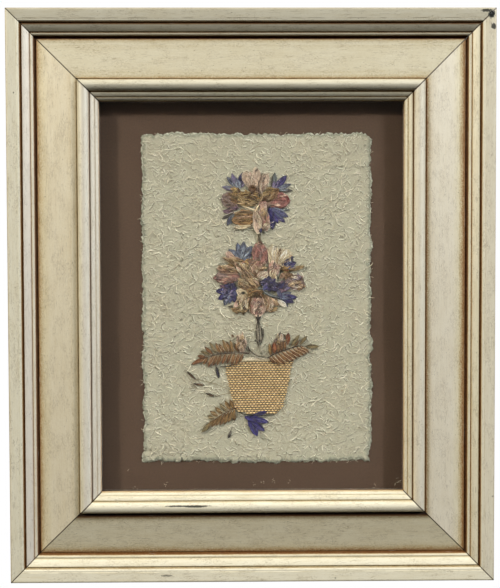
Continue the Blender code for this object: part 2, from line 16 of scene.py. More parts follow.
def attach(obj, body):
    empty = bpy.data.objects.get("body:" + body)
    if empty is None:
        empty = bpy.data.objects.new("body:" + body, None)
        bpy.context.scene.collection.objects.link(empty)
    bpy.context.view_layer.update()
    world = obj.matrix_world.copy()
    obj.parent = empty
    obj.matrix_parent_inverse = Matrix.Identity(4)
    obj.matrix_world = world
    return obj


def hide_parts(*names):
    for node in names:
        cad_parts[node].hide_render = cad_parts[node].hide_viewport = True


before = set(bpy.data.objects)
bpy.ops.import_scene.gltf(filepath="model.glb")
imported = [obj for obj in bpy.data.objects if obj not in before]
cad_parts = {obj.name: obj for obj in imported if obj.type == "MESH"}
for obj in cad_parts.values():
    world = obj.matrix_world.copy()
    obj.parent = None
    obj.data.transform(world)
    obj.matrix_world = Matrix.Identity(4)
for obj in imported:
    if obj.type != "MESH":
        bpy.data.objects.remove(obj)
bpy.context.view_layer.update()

MM = 0.001
OUTER_WIDTH, OUTER_HEIGHT = 427.4, 503.6
# The hanger's plate stands out this far behind the moulding, and the model's origin is at the hanger.
STANDOFF = 1.2
CENTRE_Z = 30.0 - OUTER_HEIGHT / 2
MITRE_GAP = 0.08
# The middle of the picture, where it lies on the sheet, and the size of a point of the picture there.
MIDDLE_X, MIDDLE_Y = 250, 294
SHIFT_X, SHIFT_Z = -1.74, 2.51
POINT_X, POINT_Z, POINT = 0.8906, 0.8909, 0.89


def place(px, py):
    """The place on the sheet of a point of the picture, which is 500 by 588."""
    return (px - MIDDLE_X) * POINT_X + SHIFT_X, (MIDDLE_Y - py) * POINT_Z + SHIFT_Z


def linear(colour):
    share = np.asarray(colour, float) / 255
    return np.where(share <= 0.04045, share / 12.92, ((share + 0.055) / 1.055) ** 2.4)


def rgba(colour):
    return (*[float(c) for c in linear(colour)], 1.0)


def rough(*key):
    """Smooth noise from -1 to 1."""
    return noise.noise(Vector((key + (0.0, 0.0))[:3]))


# ---------------------------------------------------------------- materials


class Value:
    """A number in a shader, to write sums and products with."""

    def __init__(self, looks, socket):
        self.looks, self.socket = looks, socket

    def __add__(self, other):
        return self.looks.maths("ADD", self, other)

    def __sub__(self, other):
        return self.looks.maths("SUBTRACT", self, other)

    def __mul__(self, other):
        return self.looks.maths("MULTIPLY", self, other)

    def __abs__(self):
        return self.looks.maths("ABSOLUTE", self)


class Looks:
    """A Principled material and short ways to wire nodes into it. Its colour is painted on coat by coat."""

    def __init__(self, name, roughness=0.8, metallic=0.0, specular=0.5):
        self.material = bpy.data.materials.new(name)
        self.material.use_nodes = True
        self.tree = self.material.node_tree
        self.shader = self.tree.nodes["Principled BSDF"]
        self.tone = None
        self.put({"Roughness": roughness, "Metallic": metallic, "Specular IOR Level": specular})

    def put(self, inputs, node=None):
        """Sets or links inputs, those of the shader if no node is given."""
        node = node or self.shader
        for key, value in inputs.items():
            value = value.socket if isinstance(value, Value) else value
            if isinstance(value, bpy.types.NodeSocket):
                self.tree.links.new(value, node.inputs[key])
            else:
                node.inputs[key].default_value = value
        return node

    def node(self, kind, inputs=(), **settings):
        """The outputs of a new node."""
        node = self.tree.nodes.new(kind)
        for key, value in settings.items():
            setattr(node, key, value)
        return self.put(dict(inputs), node).outputs

    def kept(self, attribute):
        """What the mesh keeps under a name, as Vector, Color and Fac."""
        return self.node("ShaderNodeAttribute", attribute_name=attribute)

    def coordinates(self):
        return self.node("ShaderNodeTexCoord")["Object"]

    def where(self, scale=1.0, attribute=None, offset=(0.0, 0.0, 0.0)):
        """Object coordinates, or a vector kept on the mesh, stretched by scale."""
        source = self.kept(attribute)["Vector"] if attribute else self.coordinates()
        scale = scale if isinstance(scale, tuple) else (scale,) * 3
        return self.node("ShaderNodeMapping", {"Vector": source, "Scale": scale, "Location": offset})["Vector"]

    def value(self, attribute):
        return Value(self, self.kept(attribute)["Fac"])

    def noise(self, vector, scale=1.0, detail=4.0, roughness=0.5, distortion=0.0):
        inputs = {"Vector": vector, "Scale": scale, "Detail": detail, "Roughness": roughness}
        return Value(self, self.node("ShaderNodeTexNoise", {**inputs, "Distortion": distortion})["Fac"])

    def split(self, vector):
        return [Value(self, socket) for socket in self.node("ShaderNodeSeparateXYZ", {"Vector": vector})]

    def strokes(self, scale, long, wide):
        """Short strokes, one to a cell, each at its own slope and bend: masks for its crest, painted as a highlight,
        and for the side below it, painted as its shadow.
        """
        flat = self.node("ShaderNodeMapping", {
            "Vector": self.coordinates(), "Scale": (1000.0,) * 3, "Rotation": (math.pi / 2, 0.0, 0.0),
            "Location": (60.0 * long, 31.0 * wide, 0.0)})["Vector"]
        cell = self.node("ShaderNodeTexVoronoi", {"Vector": flat, "Scale": scale}, voronoi_dimensions="2D")
        away = self.node("ShaderNodeVectorMath", {0: flat, 1: cell["Position"]}, operation="SUBTRACT")["Vector"]
        slope, bend, odds = self.split(cell["Color"])
        turned = {"Vector": away, "Angle": (slope - 0.5) * 2.4}
        u, v, _ = self.split(self.node("ShaderNodeVectorRotate", turned, rotation_type="Z_AXIS")["Vector"])
        v = v + (bend - 0.5) * (1.2 / long) * (u * u)
        v = v + self.step(self.noise(flat, 0.7, 1.0), 0.3, 0.7, -0.3, 0.3)
        there = self.step(abs(u), 0.55 * long, long, 1.0, 0.0) * self.step(odds, 0.38, 0.64)
        crest = self.step(abs(v), 0.2 * wide, wide, 1.0, 0.0)
        below = self.step(abs(v - 1.35 * wide), 0.2 * wide, 1.1 * wide, 1.0, 0.0)
        return crest * there, below * there

    def maths(self, operation, a, b=0.0, clamp=False):
        return Value(self, self.node("ShaderNodeMath", {0: a, 1: b}, operation=operation, use_clamp=clamp)[0])

    def step(self, value, low, high, to_low=0.0, to_high=1.0):
        inputs = {"Value": value, "From Min": low, "From Max": high, "To Min": to_low, "To Max": to_high}
        return Value(self, self.node("ShaderNodeMapRange", inputs, interpolation_type="SMOOTHSTEP")["Result"])

    def crease(self, level, width, most=1.0):
        """A line along the middle level of a noise."""
        return self.step(abs(level - 0.5), 0.0, width, most, 0.0)

    def ramp(self, value, *stops):
        """Colours (0 to 255) along a value, each as where it stands and its three numbers."""
        node = self.tree.nodes.new("ShaderNodeValToRGB")
        elements = self.put({"Fac": value}, node).color_ramp.elements
        while len(elements) < len(stops):
            elements.new(0.5)
        for element, (position, *colour) in zip(elements, stops):
            element.position = position
            element.color = rgba(colour)
        return node.outputs["Color"]

    def mix(self, factor, a, b, mode="MIX"):
        a, b = (rgba(c) if isinstance(c, tuple) else c for c in (a, b))
        return self.node("ShaderNodeMix", {0: factor, 6: a, 7: b}, data_type="RGBA", blend_type=mode)[2]

    def paint(self, factor, colour, mode="MIX"):
        self.tone = self.mix(factor, self.tone, colour, mode)

    def finish(self, height, distance, strength=1.0):
        """The material with its colour, and a relief from a height."""
        bump = self.node("ShaderNodeBump", {"Height": height, "Distance": distance * MM, "Strength": strength})
        self.put({"Base Color": self.tone, "Normal": bump["Normal"]})
        return self.material


# Paint lost in small places: place, half width and half height, and how black it is.
DAMAGE = (
    (209.4, 246.0, 3.0, 3.6, 1.0), (210.9, 235.6, 2.2, 2.8, 0.9), (204.6, 249.2, 5.0, 1.3, 0.9),
    (-56.5, -182.6, 22.0, 0.75, 0.9), (-50.0, -183.4, 9.0, 0.5, 0.8), (-76.0, -245.8, 5.0, 0.9, 0.6),
    (73.0, -248.6, 0.9, 0.7, 0.6), (212.0, -176.6, 0.8, 1.0, 0.45), (-206.8, 178.6, 0.7, 0.9, 0.75),
)


def moulding_looks():
    """Cream paint rubbed back over a brown glaze that stays in the grooves, with painted shade and painted cool
    reflections laid over it.
    """
    looks = Looks("antiqued_cream", 0.5, 0.22, 0.5)

    def drawn(along, across, *settings, offset=(0.0, 0.0, 0.0)):
        """Noise drawn out along the rail."""
        return looks.noise(looks.where((along, across, across), "rail", offset), 1.0, *settings)

    glaze, bare = looks.value("glaze"), looks.value("bare")
    grain = drawn(0.9, 2.6, 4.0, 0.7)
    uneven = looks.step(drawn(0.035, 0.9, 5.0, 0.6), 0.3, 0.75, -0.5, 0.5) * 0.035
    uneven = uneven + looks.step(drawn(0.04, 0.07, 3.0), 0.3, 0.7, -0.5, 0.5) * 0.025
    ragged = looks.step(grain, 0.25, 0.75, -0.5, 0.5) * looks.step(glaze, 0.04, 0.4, 0.15, 1.0)
    depth = looks.maths("ADD", glaze + uneven, ragged * 0.55, True)
    looks.tone = looks.ramp(depth, (0.0, 232, 225, 204), (0.08, 221, 211, 184), (0.16, 208, 194, 160),
                            (0.28, 186, 162, 120), (0.44, 148, 110, 66), (0.68, 122, 78, 34), (1.0, 74, 40, 12))
    # Scratches that run with the grain, and small dark flecks, more of them by the grooves.
    scratches = drawn(0.09, 1.9, 3.0, 0.7, offset=(3.0, 7.0, 1.0))
    looks.paint(looks.step(scratches, 0.6, 0.69, 0.0, 0.55), (112, 92, 62))
    spots = drawn(0.5, 1.1, 2.0, 0.5, offset=(11.0, 2.0, 5.0)) + bare * 0.05
    looks.paint(looks.step(spots, 0.735, 0.76, 0.0, 0.75), (86, 66, 42))
    # Hair marks, like a crazed skin, in patches.
    hair = looks.crease(drawn(0.12, 0.42, 3.0, 0.6, 1.8, offset=(5.0, 3.0, 8.0)), 0.03)
    hair = hair * looks.step(drawn(0.05, 0.1, 3.0, 0.6) + bare * 0.07, 0.48, 0.6)
    looks.paint(hair * 0.55, (124, 102, 66))
    rubbed = drawn(0.06, 0.7, 4.0, 0.6, offset=(31.0, 12.0, 9.0))
    looks.paint(looks.step(rubbed, 0.6, 0.75, 0.0, 0.3), (238, 232, 214))
    # Painted reflection: the paint is mixed halfway to a cool grey by the painted_reflection level.
    looks.paint(looks.value("painted_reflection"), looks.mix(0.5, looks.tone, (214, 203, 206)))
    looks.paint(looks.value("mitre"), (52, 36, 14))
    wobble = looks.noise(looks.where(900.0), 1.0, 2.0)
    for x, z, wide, high, black in DAMAGE:
        spot = looks.where((1 / (wide * MM), 0.0, 1 / (high * MM)), offset=(-x / wide, 0.0, -(CENTRE_Z + z) / high))
        away = Value(looks, looks.node("ShaderNodeVectorMath", {0: spot}, operation="LENGTH")["Value"])
        looks.paint(looks.step(away + wobble * 1.5, 1.5, 1.85, black, 0.0), (22, 24, 20))
    looks.paint(looks.step(looks.value("raw"), 0.3, 0.7), looks.ramp(
        drawn(0.02, 0.9, 5.0, 0.6, 0.6), (0.25, 150, 112, 72), (0.5, 178, 140, 96), (0.75, 196, 162, 118)))
    # Painted shade: the paint is multiplied towards grey by the painted_shade level.
    looks.paint(looks.value("painted_shade"), looks.mix(1.0, looks.tone, (120, 122, 126), "MULTIPLY"))
    looks.paint(1.0, (253, 254, 253), "MULTIPLY")
    looks.put({"Roughness": looks.step(depth, 0.0, 0.6, 0.54, 0.7)})
    return looks.finish(grain - hair * 0.8, 0.05, 0.8)


def plain_looks(name, colours, scale, roughness, metallic=0.0, bump=0.05, upright=1.0):
    """A material whose colour wanders through a few tones."""
    looks = Looks(name, roughness, metallic)
    grain = looks.noise(looks.where((scale, scale, scale * upright)), 1.0, 5.0, 0.6)
    share = 1 / (len(colours) - 1)
    looks.tone = looks.ramp(grain, *[(0.25 + 0.5 * share * i, *c) for i, c in enumerate(colours)])
    return looks.finish(grain, bump)


def glass_looks():
    looks = Looks("clear_glass", 0.0)
    looks.put({"Base Color": (0.985, 0.992, 0.985, 1.0), "Transmission Weight": 1.0, "IOR": 1.5})
    return looks.material


def paper_looks():
    """Handmade paper: smooth between curly fibres that stand up in it, paler along them and at the torn rim, with
    painted highlights and painted shadows on short strokes.
    """
    looks = Looks("handmade_paper", 0.95, 0.0, 0.2)
    where = looks.where(1000.0)
    height = looks.noise(where, 0.7, 4.0, 0.55) * 0.35
    for k, (scale, width, weight) in enumerate(((0.12, 0.075, 0.3), (0.19, 0.09, 0.25))):
        # A fibre follows a level line of a bent noise, and breaks off where a second noise is low.
        apart = looks.where(1000.0, offset=(37.0 * k, 0.0, 19.0 * k))
        curl = looks.crease(looks.noise(apart, scale, 2.0, 0.5, 2.2), width, weight)
        height = height + curl * looks.step(looks.noise(apart, 0.24, 1.0), 0.5, 0.6)
    height = height + looks.noise(looks.where((260.0, 1000.0, 1200.0)), 1.0, 3.0, 0.6) * 0.3
    looks.tone = looks.ramp(height, (0.15, 131, 128, 110), (0.35, 138, 135, 118), (0.8, 152, 148, 132))
    # Painted light and shade on short strokes: each crest paler as a painted highlight, the side below it darker as a
    # painted shadow; the crests also raise the relief.
    for scale, long, wide in ((0.11, 4.2, 0.62), (0.16, 3.0, 0.5), (0.23, 2.1, 0.45)):
        crest, shadow = looks.strokes(scale, long, wide)
        looks.paint(shadow * 0.75, (92, 89, 74))
        looks.paint(crest * 0.74, (185, 181, 165))
        height = height + crest * 0.45
    clouds = looks.noise(where, 0.035, 3.0)
    looks.paint(looks.step(clouds, 0.35, 0.7, 0.0, 0.45), (138, 132, 114))
    # The sheet thins to a dull grey green band round a pale torn edge.
    band = looks.value("rim") + looks.step(looks.noise(where, 0.3, 3.0), 0.3, 0.7, -0.26, 0.26)
    looks.paint(looks.step(band, 0.25, 0.75, 0.0, 0.65), (90, 95, 82))
    looks.paint(looks.step(band, 0.84, 1.05, 0.0, 0.75), (156, 154, 140))
    return looks.finish(height, 0.9)


def dry_looks(name, roughness, veins, scale, bump, sheen=0.0, crinkle=0.0):
    """Dried plant or thread: its own colour is kept on the mesh and broken up here."""
    looks = Looks(name, roughness, 0.0, 0.3)
    own = looks.tone = looks.kept("pigment")["Color"]
    streaks = looks.noise(looks.where(veins, "lie"), 1.0, 4.0, 0.6)
    blotch = looks.noise(looks.where(scale), 1.0, 4.0, 0.6)
    dark = looks.mix(1.0, own, (166, 142, 120), "MULTIPLY")
    pale = looks.mix(0.3, own, (206, 192, 166))
    looks.paint(looks.step(streaks, 0.52, 0.66, 0.0, 0.8), dark)
    looks.paint(looks.step(streaks, 0.48, 0.34, 0.0, 0.6), pale)
    looks.paint(looks.step(blotch, 0.52, 0.72, 0.0, 0.6), dark)
    height = streaks + blotch * 0.5
    if crinkle:
        # Fine folds run along the level lines of a bent noise; they are painted dark as the shade in them, and sunk in
        # the relief.
        fold = looks.crease(looks.noise(looks.where(900.0), 0.42, 2.0, 0.5, 1.4), 0.07) * crinkle
        looks.paint(fold, dark)
        height = height - fold
    looks.put({"Sheen Weight": sheen})
    return looks.finish(height, bump)


# ---------------------------------------------------------------- meshes


def closed_grid(n, m, first=0):
    """The faces between n rings of m points, each closed on itself."""
    index = first + np.arange(n * m).reshape(n, m)
    following = np.roll(index, -1, axis=1)
    quads = np.stack([index[:-1], index[1:], following[1:], following[:-1]], axis=-1).reshape(-1, 4)
    return quads, [index[0].tolist(), index[-1][::-1].tolist()]


class Sheaf:
    """Gathers closed strips and tubes into one piece, with a colour and a lie at every vertex."""

    def __init__(self):
        self.points, self.faces, self.caps, self.pigment, self.lie = [], [], [], [], []
        self.count = 0

    def add(self, rings, pigment, lie):
        """rings is (n, m, 3) in millimetres, each ring of m points closed on itself; the ends are capped."""
        quads, caps = closed_grid(*rings.shape[:2], self.count)
        flat = rings.reshape(-1, 3)
        a, b, c, d = np.moveaxis((flat - flat.mean(0))[quads - self.count], 1, 0)
        volume = np.einsum("ij,ij->i", a, np.cross(b, c)).sum() + np.einsum("ij,ij->i", a, np.cross(c, d)).sum()
        if volume < 0:
            quads, caps = quads[:, ::-1], [cap[::-1] for cap in caps]
        self.points.append(flat)
        self.faces += quads.tolist()
        self.caps += caps
        self.pigment.append(np.broadcast_to(pigment, rings.shape).reshape(-1, 3))
        self.lie.append(lie.reshape(-1, 3))
        self.count += len(flat)

    def build(self, name, material, gain=1.0):
        pigment = linear(np.concatenate(self.pigment)) * gain
        return make_piece(name, np.concatenate(self.points), self.faces + self.caps, material, pigment=pigment,
                          lie=np.concatenate(self.lie))


def make_piece(name, points, faces, material, **attributes):
    """A mesh from points (x, z, height) in millimetres, smooth, with numbers, vectors or a colour kept at them."""
    x, z, h = points.T
    mesh = bpy.data.meshes.new(name)
    mesh.from_pydata((np.stack([x, -(STANDOFF + h), CENTRE_Z + z], axis=1) * MM).tolist(), [], faces)
    for key, values in attributes.items():
        values = np.asarray(values, np.float32)
        kind, slot = ("FLOAT_VECTOR", "vector") if values.ndim == 2 else ("FLOAT", "value")
        if key == "pigment":
            kind, slot = "FLOAT_COLOR", "color"
            values = np.concatenate([values, np.ones((len(values), 1), np.float32)], axis=1)
        mesh.attributes.new(key, kind, "POINT").data.foreach_set(slot, values.ravel())
    mesh.shade_smooth()
    mesh.materials.append(material)
    piece = bpy.data.objects.new(name, mesh)
    bpy.context.scene.collection.objects.link(piece)
    return piece


def settle(piece, slot, *nodes):
    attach(piece, "root")
    if nodes:
        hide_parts(*nodes)


# ---------------------------------------------------------------- the moulding

# The face from its outer side to the sight edge: depth in from the outer edge and height of each corner, or of a
# curve's end with its rise and steps. A curve of no steps only moves the start of the next one.
SECTION = (
    (0.0, 23.2), (1.0, 24.4, 0.2, 4), (9.2, 23.4, 0.0, 8), (9.4, 23.2), (11.6, 21.9, 0.6, 8), (11.72, 21.2),
    (11.85, 20.9), (13.6, 20.9, 0.0, 3), (13.72, 21.3), (13.9, 22.1), (19.6, 18.9, 0.35, 12), (19.75, 18.4),
    (20.35, 18.4), (20.35, 18.6, 0.0, 0), (22.8, 17.3, 0.7, 10), (22.9, 16.4), (23.0, 15.6), (25.1, 15.6, 0.0, 4),
    (25.2, 15.9), (25.3, 16.4), (60.9, 24.3, 0.0, 36), (61.05, 23.7), (62.3, 23.7, 0.0, 3), (62.45, 26.3),
    (67.4, 29.5, 0.9, 12), (72.3, 26.0, 0.9, 12), (72.45, 25.1), (73.2, 25.1), (73.35, 25.8), (76.9, 24.0, 0.3, 8),
    (77.15, 23.5), (77.45, 23.7), (80.0, 21.5, 0.35, 8),
)
SIGHT_DEPTH, RABBET_DEPTH, RABBET_HEIGHT = 80.0, 73.3, 18.0
BACK = ((SIGHT_DEPTH, RABBET_HEIGHT), (RABBET_DEPTH, RABBET_HEIGHT), (RABBET_DEPTH, 0.0), (36.0, 0.0), (0.0, 0.0),
        (0.0, 0.6), (0.0, 11.0), (0.0, 22.0))
PANEL_LOW, PANEL_HIGH = 25.3, 61.0
SIDE_GLAZE = 0.12
SHARP = math.radians(38)
# Places along a rail between the close ones at its mitres, and the dark line at a mitre with how it fades.
RAIL_STEPS = 144
MITRE_LINE, MITRE_FADE = 0.62, 0.2
# The grain of each rail is taken from a stretch of its own.
GRAIN_SHIFT = 700.0

# The glaze that is left over the section. Where it falls below nought, on the rim's inner edge, the paint goes to its
# palest cream as a painted highlight.
GLAZE = (
    (0.0, 0.3), (0.8, 0.1), (1.4, 0.02), (9.1, 0.03), (9.3, 0.1), (9.6, -0.1), (11.2, -0.1), (11.5, 0.2), (11.7, 0.6),
    (13.5, 0.66), (13.7, 0.4), (14.0, 0.1), (14.8, 0.02), (19.0, 0.04), (19.5, 0.16), (19.7, 0.5), (20.4, 0.46),
    (20.7, 0.08), (22.3, 0.05), (22.75, 0.4), (22.95, 0.9), (25.1, 0.95), (25.3, 0.6), (25.8, 0.3), (27.0, 0.2),
    (28.6, 0.12), (31.0, 0.07), (36.0, 0.04), (52.0, 0.04), (56.0, 0.08), (58.6, 0.15), (60.5, 0.26), (61.0, 0.46),
    (62.3, 0.44), (62.5, 0.14), (63.2, 0.02), (71.4, 0.02), (72.1, 0.16), (72.4, 0.5), (73.2, 0.48), (73.5, 0.1),
    (74.2, 0.02), (76.6, 0.06), (77.0, 0.3), (77.4, 0.28), (77.8, 0.03), (79.3, 0.05), (80.0, 0.3),
)
# Where flecks and hair marks come: by both edges of the panel.
BARE = ((0, 0.25), (25, 0.2), (28, 1.0), (36, 0.4), (50, 0.4), (57, 1.0), (61, 0.2), (80, 0.2))
# Painted shade over some parts of the rails: depth, and how dark. On the top rail it stands for the weaker light there,
# most on the band and bead sides that face down; on the bottom rail it is the painted shadow of the bead on the
# panel's inner end; on the left rail it darkens the panel's inner end.
PAINTED_SHADE = {
    "top": ((0.0, 0.18), (11.5, 0.28), (13.5, 0.5), (23.0, 0.5), (25.3, 0.2), (60.0, 0.2), (62.0, 0.14), (66.5, 0.14),
            (68.0, 0.35), (80.0, 0.35)),
    "left": ((0.0, 0.0), (55.5, 0.0), (57.5, 0.12), (61.0, 0.22), (62.4, 0.0)),
    "bottom": ((0.0, 0.0), (54.5, 0.0), (57.0, 0.45), (61.0, 0.85), (62.4, 0.3), (64.0, 0.0)),
    "right": ((0.0, 0.0),),
}
# Painted cool reflection of the lamps on the side rails' bands, beads and panels: depth, and how much of it.
PAINTED_REFLECTION = {
    "left": ((13.7, 0.0), (14.0, 0.75), (19.6, 0.75), (20.5, 0.0), (21.0, 0.4), (22.6, 0.4), (23.0, 0.0), (31.0, 0.0),
             (37.0, 0.22), (55.0, 0.22), (59.0, 0.0), (65.0, 0.0), (67.0, 0.5), (79.5, 0.5)),
    "right": ((0.0, 0.2), (9.0, 0.2), (11.0, 0.0), (31.0, 0.0), (37.0, 0.4), (56.0, 0.4), (60.0, 0.0), (62.0, 0.0),
              (64.0, 0.3), (72.0, 0.3), (72.4, 0.0)),
    "top": ((0.0, 0.0),),
    "bottom": ((0.0, 0.0),),
}
# How far the paint of each rail's panel is toned down.
PANEL = {"bottom": 0.05, "left": 0.06, "top": 0.04, "right": 0.03}
# How much of the glaze each rail keeps in these grooves and lines, from the outer one to the lip's. The shares also
# hold painted light and shade from the lamps above: darker grooves and lip lines on the top rail, lighter grooves on
# the bottom rail, and a deep band where the bottom rail's bead shadows its panel.
GROOVES = ((11.4, 14.0), (19.5, 20.7), (22.7, 25.7), (25.75, 31.0), (56.0, 62.4), (72.2, 73.4), (76.7, 77.7))
GLAZE_AND_SHADE_KEPT = {"bottom": (0.4, 0.3, 0.75, 1.0, 1.4, 0.45, 0.35), "left": (1.0, 0.85, 1.0, 0.9, 0.4, 0.9, 0.7),
        "top": (1.0, 1.35, 1.0, 0.55, 0.65, 1.2, 1.4), "right": (1.0, 1.0, 1.0, 1.5, 1.0, 1.0, 1.0)}


def curve(start, end, rise, steps):
    (d0, h0), (d1, h1) = start, end
    length = math.hypot(d1 - d0, h1 - h0)
    share = np.arange(1, steps + 1) / max(steps, 1)
    lift = 4 * rise * share * (1 - share)
    return [(d0 + (d1 - d0) * s - (h1 - h0) / length * up, h0 + (h1 - h0) * s + (d1 - d0) / length * up)
            for s, up in zip(share, lift)]


def moulding_section():
    face, last = [], None
    for d, h, *bend in SECTION:
        face += curve(last, (d, h), *bend) if bend else [(d, h)]
        last = (d, h)
    return face


def make_rail(side, half_length, centre_to_edge, turn, seed, material):
    face = moulding_section()
    depth, height = (np.array(v) for v in zip(*face, *BACK))
    on_face = np.arange(len(depth)) < len(face)
    share = np.concatenate([[-1, -0.9982, -0.997], np.linspace(-0.994, 0.994, RAIL_STEPS), [0.997, 0.9982, 1]])
    half = half_length - depth - MITRE_GAP * math.sqrt(0.5)
    along = share[:, None] * half[None, :]

    def spread(values):
        return np.broadcast_to(values, along.shape).copy()

    def profile(stops):
        return np.interp(depth, *zip(*stops))

    d, h, glaze = spread(depth), spread(height), spread(np.where(on_face, profile(GLAZE), SIDE_GLAZE))
    for (i, j), a in np.ndenumerate(along[:, :len(face)]):
        h[i, j] += rough(a / 42, depth[j] / 13, seed) * 0.06 + rough(a / 8, depth[j] / 2.2, seed + 5) * 0.05
        if PANEL_LOW < depth[j] < PANEL_HIGH:
            lost = rough(a / 26, seed * 3.1, 1.5)
            outer = max(0.0, 1 - (depth[j] - PANEL_LOW) / (5.0 + 4 * lost))
            inner = max(0.0, 1 - (PANEL_HIGH - depth[j]) / (4.5 + 3 * lost))
            glaze[i, j] += 0.1 * max(outer, inner) * (1 + rough(a / 6, depth[j], seed))
        else:
            glaze[i, j] += 0.05 * rough(a / 18, depth[j] / 1.5, seed + 9)
    glaze[:, (depth > 26) & (depth < 60.5)] += PANEL[side]
    # These shares carry painted light and shade as well as glaze.
    for (low, high), kept in zip(GROOVES, GLAZE_AND_SHADE_KEPT[side]):
        glaze[:, (depth >= low) & (depth <= high) & on_face] *= kept
    if side == "bottom":
        # A broad dark band where the panel meets the bead above it: partly glaze, partly the painted shadow of the
        # bead.
        glaze[:, (depth > 58.9) & (depth < 62.4) & on_face] += 0.5
    mitre = np.clip((MITRE_LINE - (1 - np.abs(share))[:, None] * half[None, :]) / MITRE_FADE, 0, 1)
    # Bare wood: the back, the inside of the lip and the rabbet.
    raw = (height < 0.5) | (depth > 79) & (height < 21) | (depth > 73) & (height < RABBET_HEIGHT - 0.1)
    # The bottom rail first: depth runs up from its lower edge.
    x, z = along, -centre_to_edge + d
    cos, sin = round(math.cos(turn)), round(math.sin(turn))
    world = np.stack([x * cos + z * sin, -x * sin + z * cos, h], axis=-1).reshape(-1, 3)
    quads, caps = closed_grid(*along.shape)
    rail = np.stack([along + seed * GRAIN_SHIFT, d, h], axis=-1).reshape(-1, 3)
    levels = {"glaze": glaze, "painted_shade": profile(PAINTED_SHADE[side]), "painted_reflection": profile(PAINTED_REFLECTION[side]), "bare": profile(BARE),
              "mitre": mitre, "raw": raw}
    piece = make_piece(f"moulding_{side}", world, quads.tolist() + caps, material, rail=rail,
                       **{key: spread(level).ravel() for key, level in levels.items()})
    piece.data.set_sharp_from_angle(angle=SHARP)
    settle(piece, "moulding", f"rail_{side}")


def make_frame():
    paint = moulding_looks()
    tall, wide = OUTER_HEIGHT / 2, OUTER_WIDTH / 2
    sides = (("bottom", wide, tall), ("left", tall, wide), ("top", wide, tall), ("right", tall, wide))
    for turns, (side, half, edge) in enumerate(sides):
        make_rail(side, half, edge, turns * math.pi / 2, turns + 1.0, paint)


# ---------------------------------------------------------------- what lies behind the pane


def dress_package():
    """The pane, boards, strips, points and hanger keep the model's own shapes, in new materials."""
    four = ("top", "bottom", "left", "right")
    for material, *names in (
            (plain_looks("brown_board", ((50, 35, 21), (59, 41, 26), (66, 47, 31)), 700.0, 0.95, bump=0.08),
             "mount_board"),
            (plain_looks("dark_strip", ((38, 30, 24), (50, 40, 33), (60, 49, 40)), 500.0, 0.9, bump=0.08),
             *[f"spacer_{side}" for side in four]),
            (plain_looks("kraft_board", ((112, 80, 50), (134, 98, 62), (150, 114, 76)), 260.0, 0.85, bump=0.12,
                         upright=0.25), "backing_board"),
            (plain_looks("point_steel", ((120, 118, 114), (152, 150, 146), (178, 176, 172)), 900.0, 0.38, 0.6, 0.03),
             *[f"point_{side}" for side in four]),
            (plain_looks("hanger_plate", ((138, 128, 104), (172, 162, 136), (196, 188, 164)), 600.0, 0.4, 0.6, 0.03),
             "hanger"),
            (glass_looks(), "glass")):
        for name in names:
            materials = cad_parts[name].data.materials
            materials.clear()
            materials.append(material)
    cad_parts["glass"].visible_shadow = False


SHEET_X, SHEET_Z, SHEET_W, SHEET_H = 4.3, -1.4, 204.0, 292.5
SHEET_FOOT, SHEET_TOP, SHEET_THICKNESS = 10.45, 10.6, 0.55
SHEET_COLUMNS, SHEET_ROWS = 190, 264
# How far in from the torn edge the sheet is thin, and how far in its rim shows.
THIN, RIM = 2.6, 5.0


def make_paper():
    """The sheet: a fine grid whose four sides wander and fray, thin at the rim."""
    u, v = np.linspace(-1, 1, SHEET_COLUMNS), np.linspace(-1, 1, SHEET_ROWS)
    points, rim = np.zeros((len(v), len(u), 3)), np.zeros((len(v), len(u)))

    def torn(shares, length, side):
        """How far in one side is torn away, along it."""
        for along in (t * length / 2 for t in shares):
            slow = -0.2 + 1.8 * rough(along / 21, side, 3.0) + 1.5 * rough(along / 7, side, 8.0)
            yield slow + 1.9 * abs(rough(along / 3.1, side, 5.0)) + 1.2 * rough(along / 1.5, side, 6.0)

    left, right = list(torn(v, SHEET_H, 1.5)), list(torn(v, SHEET_H, 2.5))
    low, high = list(torn(u, SHEET_W, 3.5)), list(torn(u, SHEET_W, 4.5))
    for i, j in np.ndindex(rim.shape):
        x0, x1 = -SHEET_W / 2 + left[i], SHEET_W / 2 - right[i]
        z0, z1 = -SHEET_H / 2 + low[j], SHEET_H / 2 - high[j]
        x = x0 + (x1 - x0) * (u[j] + 1) / 2
        z = z0 + (z1 - z0) * (v[i] + 1) / 2
        # The corners are rounded, the upper right one the most.
        corner = max(0.0, abs(u[j]) - 0.95) * max(0.0, abs(v[i]) - 0.965) * (1500 if x > 0 and z > 0 else 50)
        x -= math.copysign(corner, u[j])
        z -= math.copysign(corner, v[i])
        inset = max(0.0, min(x - x0, x1 - x, z - z0, z1 - z))
        relief = 0.3 * rough(x / 9, z / 9, 1.0) + 0.3 * rough(x / 4.2, z / 3.4, 4.0)
        thickness = SHEET_THICKNESS * min(1.0, inset / THIN) ** 0.6
        points[i, j] = (SHEET_X + x, SHEET_Z + z, SHEET_TOP + thickness + relief)
        rim[i, j] = max(0.0, 1 - inset / RIM)
    index = np.arange(rim.size).reshape(rim.shape)
    quads = np.stack([index[:-1, :-1], index[:-1, 1:], index[1:, 1:], index[1:, :-1]], axis=-1).reshape(-1, 4)
    border = np.concatenate([index[0], index[1:, -1], index[-1, -2::-1], index[-2:0:-1, 0]])
    top = points.reshape(-1, 3)
    under = top[border]
    under[:, 2] = SHEET_FOOT
    base = len(top) + np.arange(len(border))
    skirt = np.stack([border, base, np.roll(base, -1), np.roll(border, -1)], axis=1)
    faces = quads.tolist() + skirt.tolist() + [base[::-1].tolist()]
    rim = np.concatenate([rim.ravel(), np.ones(len(border))])
    settle(make_piece("handmade_sheet", np.concatenate([top, under]), faces, paper_looks(), rim=rim),
           "handmade_paper", "paper_sheet")


